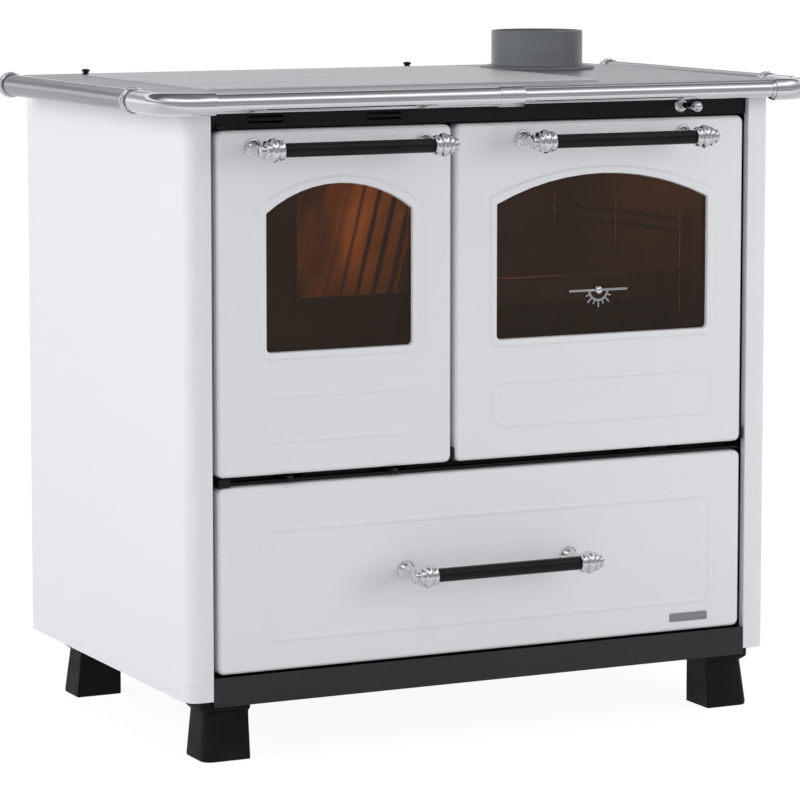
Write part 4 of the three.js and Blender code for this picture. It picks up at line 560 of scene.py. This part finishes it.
ring_at = ((ring_low.x + ring_high.x) / 2, (ring_low.y + ring_high.y) / 2, ring_low.z)
ring_radius, lid_seat, groove = 0.125, 0.0735, 0.1
step, top, edge = 0.0047, ring_high.z - ring_low.z, 0.0008
foot_radius, bore_radius = ring_radius - 0.008, lid_seat - 0.008
cook_ring_rings = [
    (bore_radius, 0), (foot_radius, 0), (foot_radius, step + 0.0003), (ring_radius, step + 0.0003),
    (ring_radius, top - edge), (ring_radius - edge, top), (groove + 0.0005, top), (groove, top - 0.0005),
    (groove - 0.0008, top - 0.0005), (groove - 0.0013, top), (lid_seat + edge, top), (lid_seat, top - edge),
    (lid_seat, step), (bore_radius, step),
]
cook_ring = turned(cook_ring_rings, ring_at, sides=128, tube=True)
settle(cook_ring, "cook_ring_turned", "cook_ring", "hob_steel", plate_steel, "hob_ring")
soften("hob_lid", "cook_lid_turned", 0.0007, "cook_lid", "hob_steel", plate_steel, angle=40)
stud_y, stud_z = 0.3025, 0.8569
stud_rings = [(0.0052, 0.0), (0.0052, 0.0012), (0.0038, 0.0017), (0.0038, 0.0030), (0.0056, 0.0037),
              (0.0058, 0.0052), (0.0047, 0.0066), (0.002, 0.0072)]
for stud_name, x in (("hob_stud_left", -0.347), ("hob_stud_right", 0.150)):
    stud = turned(stud_rings, (x, stud_y, stud_z), sides=32)
    settle(stud, stud_name, "stove_body", "black_paint", satin_black)

# The flue collar is turned steel in grey heat-proof paint. Its flange is screwed down to the hob frame, its
# tail passes down through the frame, and its spigot takes the flue pipe.
collar_grey = new_finish("grey_collar_paint", (0.15, 0.16, 0.165), 0.3, 0.5, shine=0.6)
add_shades(collar_grey, (0.135, 0.145, 0.15), (0.155, 0.166, 0.171), 6, stretch=(1, 1, 6))
add_gloss(collar_grey, 0.32, 0.42, 20)
add_grain(collar_grey, 500, 0.12, 0.0004)
collar_low, collar_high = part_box("flue_collar")
collar_at = ((collar_low.x + collar_high.x) / 2, (collar_low.y + collar_high.y) / 2, collar_low.z)
rise = collar_high.z - collar_low.z
bore, tail, spigot, flange, under_flange = 0.060, 0.063, 0.065, 0.082, 0.0153
collar_rings = [
    (bore, 0.0), (tail, 0.0), (tail, under_flange), (flange, under_flange), (flange, 0.0175),
    (flange - 0.0008, 0.0186), (0.068, 0.0208), (0.0658, 0.0216), (spigot, 0.0232), (spigot, rise - 0.0014),
    (0.0644, rise - 0.0003), (0.0634, rise), (0.0612, rise), (0.0603, rise - 0.0004), (bore, rise - 0.0014),
]
collar = turned(collar_rings, collar_at, sides=128, tube=True, angle=30)
settle(collar, "flue_collar_turned", "stove_body", "collar_paint", collar_grey, "flue_collar")

# The hand rail runs round three sides of the hob. Its side tubes are satin steel and its front tubes
# chrome; chromed elbows turn the corners, and beaded rings hold it on arms from the hob frame.
satin_steel = new_finish("satin_rail_steel", (0.40, 0.41, 0.44), 1.0, 0.15)
add_shades(satin_steel, (0.37, 0.38, 0.41), (0.43, 0.44, 0.47), 5, stretch=(30, 1, 30))
add_gloss(satin_steel, 0.12, 0.19, 8, stretch=(60, 2, 60))
add_grain(satin_steel, 8, 0.08, 0.0003, stretch=(200, 3, 200))
rail_radius, rail_wall = 0.0145, 0.0015
for rail in ("rail_left", "rail_right"):
    low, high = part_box(rail)
    rail_at, length = ((low.x + high.x) / 2, low.y, (low.z + high.z) / 2), high.y - low.y
    inner, lip = rail_radius - rail_wall, rail_radius - 0.0004
    rail_rings = [(inner, 0), (lip, 0), (rail_radius, 0.0004), (rail_radius, length - 0.0004), (lip, length),
                  (inner, length)]
    tube = turned(rail_rings, rail_at, axis="y", sides=64, tube=True)
    settle(tube, rail + "_tube", "stove_body", "satin_tube", satin_steel, rail)


def block(middle, size):
    """A plain block at its place, the start of a small flat piece."""
    bpy.ops.object.select_all(action="DESELECT")
    bpy.ops.mesh.primitive_cube_add(size=1, location=middle)
    piece = bpy.context.object
    piece.scale = size
    bpy.ops.object.transform_apply(location=True, rotation=True, scale=True)
    return piece


arm_width, arm_height, arm_lift = 0.008, 0.009, 0.0005
rim_x, arm_reach, bead_circle, bead_radius, bead_count = 0.4383, 0.0155, 0.0159, 0.0021, 18
ring_half = 0.006
half_ring = [(0.0148, -ring_half), (0.0162, -ring_half), (0.0170, -0.0054), (0.0171, -0.0046),
             (0.0166, -0.0036), (0.0156, -0.0030)]
whole_ring = half_ring + [(radius, -height) for radius, height in reversed(half_ring)]


def ring_on_arm(side, x, y, z):
    """A flanged ring round the rail, the small balls in its groove, and its arm from the hob frame's rim."""
    ring = turned(whole_ring, (x, y, z), axis="y", sides=72, tube=True)
    bpy.ops.object.select_all(action="DESELECT")
    bpy.ops.mesh.primitive_uv_sphere_add(
        segments=10, ring_count=7, radius=bead_radius, location=(x + bead_circle, y, z),
    )
    bead = bpy.context.object
    bead.scale = (1, 1.25, 1)
    bpy.ops.object.transform_apply(location=True, rotation=True, scale=True)
    bpy.ops.object.shade_smooth()
    turns = [math.tau * i / bead_count for i in range(1, bead_count)]
    shifts = [(bead_circle * (math.cos(turn) - 1), 0, bead_circle * math.sin(turn)) for turn in turns]
    beads = repeat(bead, shifts)
    from_x, to_x = side * rim_x, x - side * arm_reach
    arm = block(((from_x + to_x) / 2, y, z + arm_lift), (abs(to_x - from_x), arm_width, arm_height))
    round_edges(arm, 0.0015)
    shade(arm)
    return ring, beads, arm


bend, stub, seam = 0.050, 0.012, 0.0003
cap_rings = [(0.0142, 0.0052)] + [(radius, 0.0062 + height) for radius, height in dome(0.0162, 0.0026)]
for side, word in ((-1, "left"), (1, "right")):
    elbow_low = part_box("rail_elbow_" + word)[0]
    rail_low, rail_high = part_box("rail_" + word)
    rail_x, rail_z = (rail_low.x + rail_high.x) / 2, (rail_low.z + rail_high.z) / 2
    joint_y = rail_low.y - seam
    bend_x, bend_y = rail_x - side * bend, elbow_low.y + rail_radius + bend
    bpy.ops.object.select_all(action="DESELECT")
    bpy.ops.mesh.primitive_circle_add(
        vertices=64, radius=rail_radius, location=(rail_x, joint_y - seam, rail_z),
        rotation=(math.radians(90), 0, 0),
    )
    elbow = bpy.context.object
    edit(elbow)
    bpy.ops.mesh.extrude_region_move(TRANSFORM_OT_translate={"value": (0, bend_y - joint_y + seam, 0)})
    quarter_turn = math.radians(90) * side
    bpy.ops.mesh.spin(steps=20, angle=quarter_turn, center=(bend_x, bend_y, rail_z), axis=(0, 0, 1))
    bpy.ops.mesh.extrude_region_move(TRANSFORM_OT_translate={"value": (-side * stub, 0, 0)})
    bpy.ops.mesh.select_all(action="SELECT")
    bpy.ops.mesh.remove_doubles(threshold=0.00001)
    bpy.ops.mesh.normals_make_consistent(inside=False)
    bpy.ops.object.mode_set(mode="OBJECT")
    bpy.ops.object.transform_apply(location=True, rotation=True, scale=True)
    wall = elbow.modifiers.new("wall", "SOLIDIFY")
    wall.thickness = rail_wall
    wall.offset = -1
    bpy.ops.object.modifier_apply(modifier=wall.name)
    bpy.ops.object.shade_smooth_by_angle(angle=math.radians(35))
    elbow = join(elbow, *ring_on_arm(side, rail_x, joint_y, rail_z))
    settle(elbow, "rail_elbow_" + word + "_chromed", "stove_body", "chrome", chrome, "rail_elbow_" + word)

    end_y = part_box("rail_end_" + word)[0].y + ring_half
    cap = turned(cap_rings, (rail_x, end_y, rail_z), axis="y", sides=72)
    rail_end = join(cap, *ring_on_arm(side, rail_x, end_y, rail_z))
    settle(rail_end, "rail_end_" + word + "_chromed", "stove_body", "chrome", chrome, "rail_end_" + word)

# Along the front, a thick tube ends in a grooved sleeve, and a thinner one goes on from there to a bush in
# the right elbow. A flat tongue from the hob frame's rim holds the sleeve.
left_low, left_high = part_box("rail_front_left")
right_low, right_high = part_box("rail_front_right")
front_z = (right_low.z + right_high.z) / 2
front_y = (right_low.y + right_high.y) / 2
thick, thin, sleeve, bush = 0.0125, 0.0105, 0.0138, 0.0127
length = right_low.x - seam - left_low.x
thick_rings = [(thick - rail_wall, 0), (thick, 0), (thick, length), (thick - rail_wall, length)]
thick_tube = turned(thick_rings, (left_low.x, front_y, front_z), axis="x", sides=64, tube=True)
cuff_x = -0.010
length = left_high.x - cuff_x
cuff_rings = [
    (thick - 0.0007, 0), (thick + 0.0002, 0), (thick + 0.0002, 0.0018), (sleeve - 0.0004, 0.0018),
    (sleeve, 0.0022), (sleeve, length * 0.55), (sleeve - 0.0005, length * 0.57), (sleeve, length * 0.59),
    (sleeve, length - 0.0008), (sleeve - 0.0008, length), (thin + 0.0003, length), (thin + 0.0003, 0.0186),
    (thick - 0.0007, 0.0185),
]
cuff = turned(cuff_rings, (cuff_x, front_y, front_z), axis="x", sides=64, tube=True)
tongue_x, tongue_width, rim_y, tube_back = 0.0085, 0.012, -0.2536, front_y + thick
tongue = block(
    (tongue_x, (tube_back + rim_y) / 2, front_z + arm_lift), (tongue_width, rim_y - tube_back, arm_height),
)
round_edges(tongue, 0.0012)
shade(tongue)
front_left = join(thick_tube, cuff, tongue)
settle(front_left, "rail_front_left_chromed", "stove_body", "chrome", chrome, "rail_front_left")
length = right_high.x - right_low.x
bush_length = 0.008
to_bush = length - bush_length
thin_rings = [(thin - rail_wall, 0), (thin, 0), (thin, to_bush), (bush, to_bush), (bush, length),
              (thin - rail_wall, length)]
thin_tube = turned(thin_rings, (right_low.x, front_y, front_z), axis="x", sides=64, tube=True)
settle(thin_tube, "rail_front_right_chromed", "stove_body", "chrome", chrome, "rail_front_right")

# Both doors are deep-pressed enamelled pans with a raised border round the window and a pressed bead
# below it. Behind each lie brown-tinted glass, a black back plate, and a braided rope seal.
tinted_glass = new_finish("brown_tinted_glass", (0.62, 0.36, 0.17), 0.0, 0.02, shine=0.12)
tinted_glass.node_tree.nodes["Principled BSDF"].inputs["Transmission Weight"].default_value = 0.99
tinted_glass.node_tree.nodes["Principled BSDF"].inputs["IOR"].default_value = 1.47
add_shades(tinted_glass, (0.58, 0.33, 0.15), (0.66, 0.39, 0.19), 5)
add_gloss(tinted_glass, 0.01, 0.03, 12)
rope = new_finish("braided_glass_rope", (0.07, 0.07, 0.067), 0.0, 0.9)
add_shades(rope, (0.04, 0.04, 0.038), (0.12, 0.12, 0.115), 240)
add_grain(rope, 420, 0.6, 0.0008)


def weave(finish, scale, strength, depth):
    """Crossing diagonal strands raised on the surface."""
    nodes, links = finish.node_tree.nodes, finish.node_tree.links
    shader = nodes["Principled BSDF"]
    for turn in (40, -40):
        coordinates = nodes.new("ShaderNodeTexCoord")
        mapping = nodes.new("ShaderNodeMapping")
        mapping.inputs["Rotation"].default_value = (0, math.radians(turn), 0)
        links.new(coordinates.outputs["Object"], mapping.inputs["Vector"])
        strands = nodes.new("ShaderNodeTexWave")
        strands.inputs["Scale"].default_value = scale
        links.new(mapping.outputs["Vector"], strands.inputs["Vector"])
        bump = nodes.new("ShaderNodeBump")
        bump.inputs["Strength"].default_value = strength
        bump.inputs["Distance"].default_value = depth
        links.new(strands.outputs["Fac"], bump.inputs["Height"])
        links.new(shader.inputs["Normal"].links[0].from_socket, bump.inputs["Normal"])
        links.new(bump.outputs["Normal"], shader.inputs["Normal"])


def pick_in(piece, kind, chosen):
    """Goes into edit mode with only the chosen points or faces of this piece selected."""
    edit(piece)
    bpy.ops.mesh.select_mode(type=kind)
    bpy.ops.mesh.select_all(action="DESELECT")
    bpy.ops.object.mode_set(mode="OBJECT")
    for item in piece.data.vertices if kind == "VERT" else piece.data.polygons:
        item.select = chosen(item)
    bpy.ops.object.mode_set(mode="EDIT")


def rib_loops(piece, plane):
    """The closed loops where walls meet the flats that stand at this Y, the widest loop first."""
    mesh = piece.data
    at_plane = {v.index for v in mesh.vertices if abs(v.co.y - plane) < 0.00005}
    kinds = {}
    for face in mesh.polygons:
        for pair in face.edge_keys:
            if pair[0] in at_plane and pair[1] in at_plane:
                kinds.setdefault(pair, set()).add(abs(face.normal.y) > 0.9)
    beside = {}
    for (first, second), found in kinds.items():
        if len(found) == 2:
            beside.setdefault(first, set()).add(second)
            beside.setdefault(second, set()).add(first)
    loops = []
    while beside:
        loop, wave = set(), {next(iter(beside))}
        while wave:
            loop |= wave
            wave = set().union(*(beside[i] for i in wave)) - loop
        for i in loop:
            del beside[i]
        xs = [mesh.vertices[i].co.x for i in loop]
        loops.append((min(xs) - max(xs), loop))
    return [loop for _, loop in sorted(loops, key=lambda found: found[0])]


def draw_in(piece, loop, distance):
    """Moves a loop inwards all round, so that the wall below it leans as a press leaves it."""
    points = [piece.data.vertices[i].co for i in loop]
    xs, zs = [p.x for p in points], [p.z for p in points]
    middle = ((min(xs) + max(xs)) / 2, points[0].y, (min(zs) + max(zs)) / 2)
    grow = [1 - 2 * distance / (max(span) - min(span)) for span in (xs, zs)]
    pick_in(piece, "VERT", lambda vertex: vertex.index in loop)
    bpy.ops.transform.resize(value=(grow[0], 1, grow[1]), center_override=middle)
    bpy.ops.object.mode_set(mode="OBJECT")


def span_rib(piece, loops):
    """Fills the flat between a rib's two loops with one clean ring of faces."""
    pick_in(piece, "FACE", lambda face: (loops[0] | loops[1]).issuperset(face.vertices))
    bpy.ops.mesh.delete(type="FACE")
    bpy.ops.mesh.select_mode(type="EDGE")
    bpy.ops.mesh.select_non_manifold()
    bpy.ops.mesh.bridge_edge_loops()
    bpy.ops.object.mode_set(mode="OBJECT")


def press(node, name, body, ribs):
    """An enamelled panel whose ribs, each (plane, how far its two loops draw in), have leaning walls."""
    piece = copy_of(node)
    for plane, leans in ribs:
        loops = rib_loops(piece, plane)
        for loop, lean in zip(loops, leans):
            draw_in(piece, loop, lean)
        span_rib(piece, loops)
    round_edges(piece, 0.0009, segments=3, angle=18)
    shade(piece)
    settle(piece, name, body, "white_enamel", enamel, node)


weave(rope, 90, 0.5, 0.0008)
border_leans, bead_leans, bead_sunk = (0.003, -0.001), (0.0026, -0.0026), 0.0008
for door in ("firebox_door", "oven_door"):
    border_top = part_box(door + "_panel")[0].y
    ribs = [(border_top, border_leans), (border_top + bead_sunk, bead_leans)]
    press(door + "_panel", door + "_enamelled", door, ribs)
    soften(door + "_glass", door + "_pane", 0.0006, door, "door_glass", tinted_glass, segments=2)
    soften(door + "_back", door + "_back_plate", 0.0005, door, "black_paint", satin_black, segments=2)
    soften(door + "_seal", door + "_rope", 0.0027, door, "rope_seal", rope, segments=4, angle=50)

# The hinge rods are blackened steel pins held by the lugs of the front frame. The firebox door swings on
# an upright one, and the oven door drops on one that lies along its lower edge.
pin_radius = 0.004
for rod, axis in (("firebox_hinge_rod", 2), ("oven_hinge_rod", 0)):
    low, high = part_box(rod)
    middle = (low + high) / 2
    start, end = list(middle), list(middle)
    start[axis], end[axis] = low[axis], high[axis]
    pin = wire(pin_radius, start, end, sides=32)
    settle(pin, rod + "_turned", "stove_body", "bare_steel", satin_black, rod)

# Each handle has two chromed posts with turned finials, and a black ribbed grip over a steel core that
# runs between the finials.
grip_black = new_finish("black_grip", (0.006, 0.006, 0.0065), 0.0, 0.32, shine=0.2)
add_shades(grip_black, (0.005, 0.005, 0.0055), (0.008, 0.008, 0.0088), 30)
add_gloss(grip_black, 0.26, 0.4, 40, stretch=(2, 40, 40))
add_grain(grip_black, 300, 0.08, 0.0003)
finial_rings = [
    (0.0040, 0.0), (0.0068, 0.0004), (0.0086, 0.0016), (0.0092, 0.0032), (0.0084, 0.0048),
    (0.0066, 0.0060), (0.0062, 0.0070), (0.0072, 0.0076), (0.0102, 0.0082), (0.0122, 0.0096),
    (0.0128, 0.0116), (0.0118, 0.0134), (0.0106, 0.0142), (0.0112, 0.0150), (0.0136, 0.0162),
    (0.0150, 0.0182), (0.0155, 0.0206), (0.0152, 0.0228), (0.0140, 0.0246), (0.0122, 0.0256),
    (0.0108, 0.0262), (0.0110, 0.0270), (0.0126, 0.0278), (0.0132, 0.0294), (0.0130, 0.0318),
    (0.0124, 0.0334), (0.0116, 0.0340), (0.0106, 0.0350),
]
post_rings = [
    (0.0122, 0.0), (0.0122, -0.0012), (0.0116, -0.0022), (0.0100, -0.0028), (0.0094, -0.0036),
    (0.0086, -0.0052), (0.0068, -0.0066), (0.0058, -0.0082), (0.0056, -0.0140), (0.0064, -0.0150),
    (0.0068, -0.0162), (0.0064, -0.0174), (0.0056, -0.0184), (0.0055, -0.0340), (0.0062, -0.0360),
    (0.0066, -0.0400), (0.0066, -0.0480),
]
finial_radius, post_inset, core_radius, core_inset = 0.0155, 0.01925, 0.005, 0.034
grip_radius, grip_groove, grip_mouth, grip_bore = 0.0090, 0.0084, 0.0080, 0.0053
for handle, body in (
    ("firebox_door_handle", "firebox_door"),
    ("oven_door_handle", "oven_door"),
    ("drawer_handle", "drawer"),
):
    low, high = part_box(handle)
    x, bar_y, z = (low.x + high.x) / 2, low.y + finial_radius, (low.z + high.z) / 2
    half = (high.x - low.x) / 2
    parts = []
    for side in (-1, 1):
        parts.append(turned(post_rings, (x + side * (half - post_inset), high.y, z), axis="y", sides=48))
        outwards = [(radius, -side * height) for radius, height in finial_rings]
        parts.append(turned(outwards, (x + side * half, bar_y, z), axis="x", sides=64))
    core_half = half - core_inset
    parts.append(wire(core_radius, (x - core_half, bar_y, z), (x + core_half, bar_y, z), sides=32))
    settle(join(*parts), handle + "_turned", body, "chrome", chrome, handle)
    low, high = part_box(handle + "_grip")
    length = high.x - low.x
    groove_x = length * 0.012 + 0.002
    grip_rings = [
        (grip_bore, 0.0), (grip_mouth, 0.0), (0.0088, 0.0008), (grip_radius, 0.0020),
        (grip_radius, groove_x - 0.0012), (grip_groove, groove_x - 0.0006), (grip_groove, groove_x + 0.0006),
        (grip_radius, groove_x + 0.0012), (grip_radius, length - 0.0055), (grip_groove, length - 0.0050),
        (grip_groove, length - 0.0038), (grip_radius, length - 0.0032), (grip_radius, length - 0.0020),
        (0.0088, length - 0.0008), (grip_mouth, length), (grip_bore, length),
    ]
    grip = turned(grip_rings, (low.x, bar_y, z), axis="x", sides=64, tube=True)
    settle(grip, handle + "_grip_turned", body, "grip_black", grip_black, handle + "_grip")

# The oven thermometer sits in the glass: half a chromed dial with raised marks, and a small pointer
# on a ball hub that a coil behind the glass turns.
soften("thermometer_dial", "thermometer_half_dial", 0.00025, "oven_door", "chrome", chrome, segments=2)
dial_low, dial_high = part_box("thermometer_dial")
needle_low, needle_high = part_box("thermometer_pointer")
hub_radius, needle_thickness, needle_width, needle_inset, tip_share = 0.0055, 0.0011, 0.0018, 0.0007, 0.35
hub_x, hub_z = (dial_low.x + dial_high.x) / 2, needle_high.z - hub_radius
hub_rings = [(hub_radius, 0.0)] + [(radius, -0.0006 - height) for radius, height in dome(hub_radius, 0.0044)]
hub = turned(hub_rings, (hub_x, needle_high.y, hub_z), axis="y", sides=48)
needle_length = hub_x - needle_low.x
needle = block(
    (hub_x - needle_length / 2, needle_high.y - needle_inset, hub_z),
    (needle_length, needle_thickness, needle_width),
)
pick_in(needle, "VERT", lambda vertex: vertex.co.x < needle_low.x + 0.0001)
bpy.ops.transform.resize(value=(1, 1, tip_share), center_override=(needle_low.x, needle_high.y, hub_z))
bpy.ops.object.mode_set(mode="OBJECT")
round_edges(needle, 0.0002, segments=2)
pointer = join(hub, needle)
settle(pointer, "thermometer_needle_turned", "thermometer_needle", "chrome", chrome, "thermometer_pointer")

# The wood drawer has a pressed enamelled front like the doors', a zinc-plated box, and two angle runners.
# A small blank badge plate is riveted to its lower right corner.
press("drawer_front", "drawer_front_enamelled", "drawer", [(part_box("drawer_front")[0].y, bead_leans)])
soften("drawer_box", "drawer_box_folded", 0.0005, "drawer", "bare_steel", zinc)
for runner in ("drawer_runner_left", "drawer_runner_right"):
    soften(runner, runner + "_angle", 0.0005, "stove_body", "bare_steel", zinc)
badge_steel = new_finish("brushed_badge", (0.35, 0.355, 0.36), 1.0, 0.35)
add_gloss(badge_steel, 0.26, 0.42, 8, stretch=(4, 60, 200))
add_grain(badge_steel, 8, 0.12, 0.0002, stretch=(6, 100, 400))
badge_x, badge_z, badge_width, badge_height, badge_thickness = 0.306, 0.132, 0.058, 0.0115, 0.0012
bead_rise, badge_rim, badge_sunk = 0.0012, 0.0011, 0.0004
badge_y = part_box("drawer_front")[0].y + bead_rise - badge_sunk
badge = block((badge_x, badge_y, badge_z), (badge_width, badge_thickness, badge_height))
pick_in(badge, "FACE", lambda face: face.normal.y < -0.9)
bpy.ops.mesh.inset(thickness=badge_rim)
bpy.ops.transform.translate(value=(0, badge_sunk, 0))
bpy.ops.object.mode_set(mode="OBJECT")
round_edges(badge, 0.0002, segments=2)
shade(badge)
settle(badge, "blank_badge", "drawer", "bare_steel", badge_steel)

# The bypass knob is a chromed ball on a long rod that lifts the damper disc off the flue chamber; a small
# rosette covers its hole in the strip.
rod_low, rod_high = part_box("bypass_rod")
rosette_low, rosette_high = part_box("bypass_rosette")
knob_x, knob_z = (rosette_low.x + rosette_high.x) / 2, (rosette_low.z + rosette_high.z) / 2
ball_radius, rod_radius, disc_radius, disc_edge = 0.007, 0.0040, 0.031, 0.001
ball_y = rod_low.y + ball_radius
slices = [math.radians(angle) for angle in range(15, 150, 15)]
stem_rings = [(0.0005, -ball_radius)]
stem_rings += [(ball_radius * math.sin(angle), -ball_radius * math.cos(angle)) for angle in slices]
rod_end = rod_high.y - ball_y - 0.0043
stem_rings += [(0.0042, 0.0062), (0.0050, 0.0070), (0.0050, 0.0086), (rod_radius, 0.0094)]
stem_rings += [(rod_radius, rod_end)]
stem = turned(stem_rings, (knob_x, ball_y, knob_z), axis="y", sides=48)
disc_rings = [(disc_radius - disc_edge, -0.0040), (disc_radius, -0.0030), (disc_radius, -0.0008),
              (disc_radius - disc_edge, 0.0)]
disc = turned(disc_rings, (knob_x, rod_high.y, rod_low.z + disc_radius), axis="y", sides=64)
settle(join(stem, disc), "bypass_rod_turned", "bypass", "chrome", chrome, "bypass_rod")
rosette_bore = 0.0043
rosette_rings = [(rosette_bore, -0.004), (0.0066, -0.004), (0.0078, -0.0036), (0.0084, -0.0028),
                 (0.0092, -0.0022), (0.0099, -0.0014), (0.0100, 0.0), (rosette_bore, 0.0)]
rosette = turned(rosette_rings, (knob_x, rosette_high.y, knob_z), axis="y", sides=48, tube=True)
settle(rosette, "bypass_rosette_turned", "stove_body", "chrome", chrome, "bypass_rosette")

# Two small black knobs under the firebox door slide plates over the air slots behind the front frame.
# Each knob and its plate are one piece.
for slider, body in (("air_slider_left", "air_left"), ("air_slider_right", "air_right")):
    soften(slider, slider + "_plate", 0.0005, body, "grip_black", grip_black)
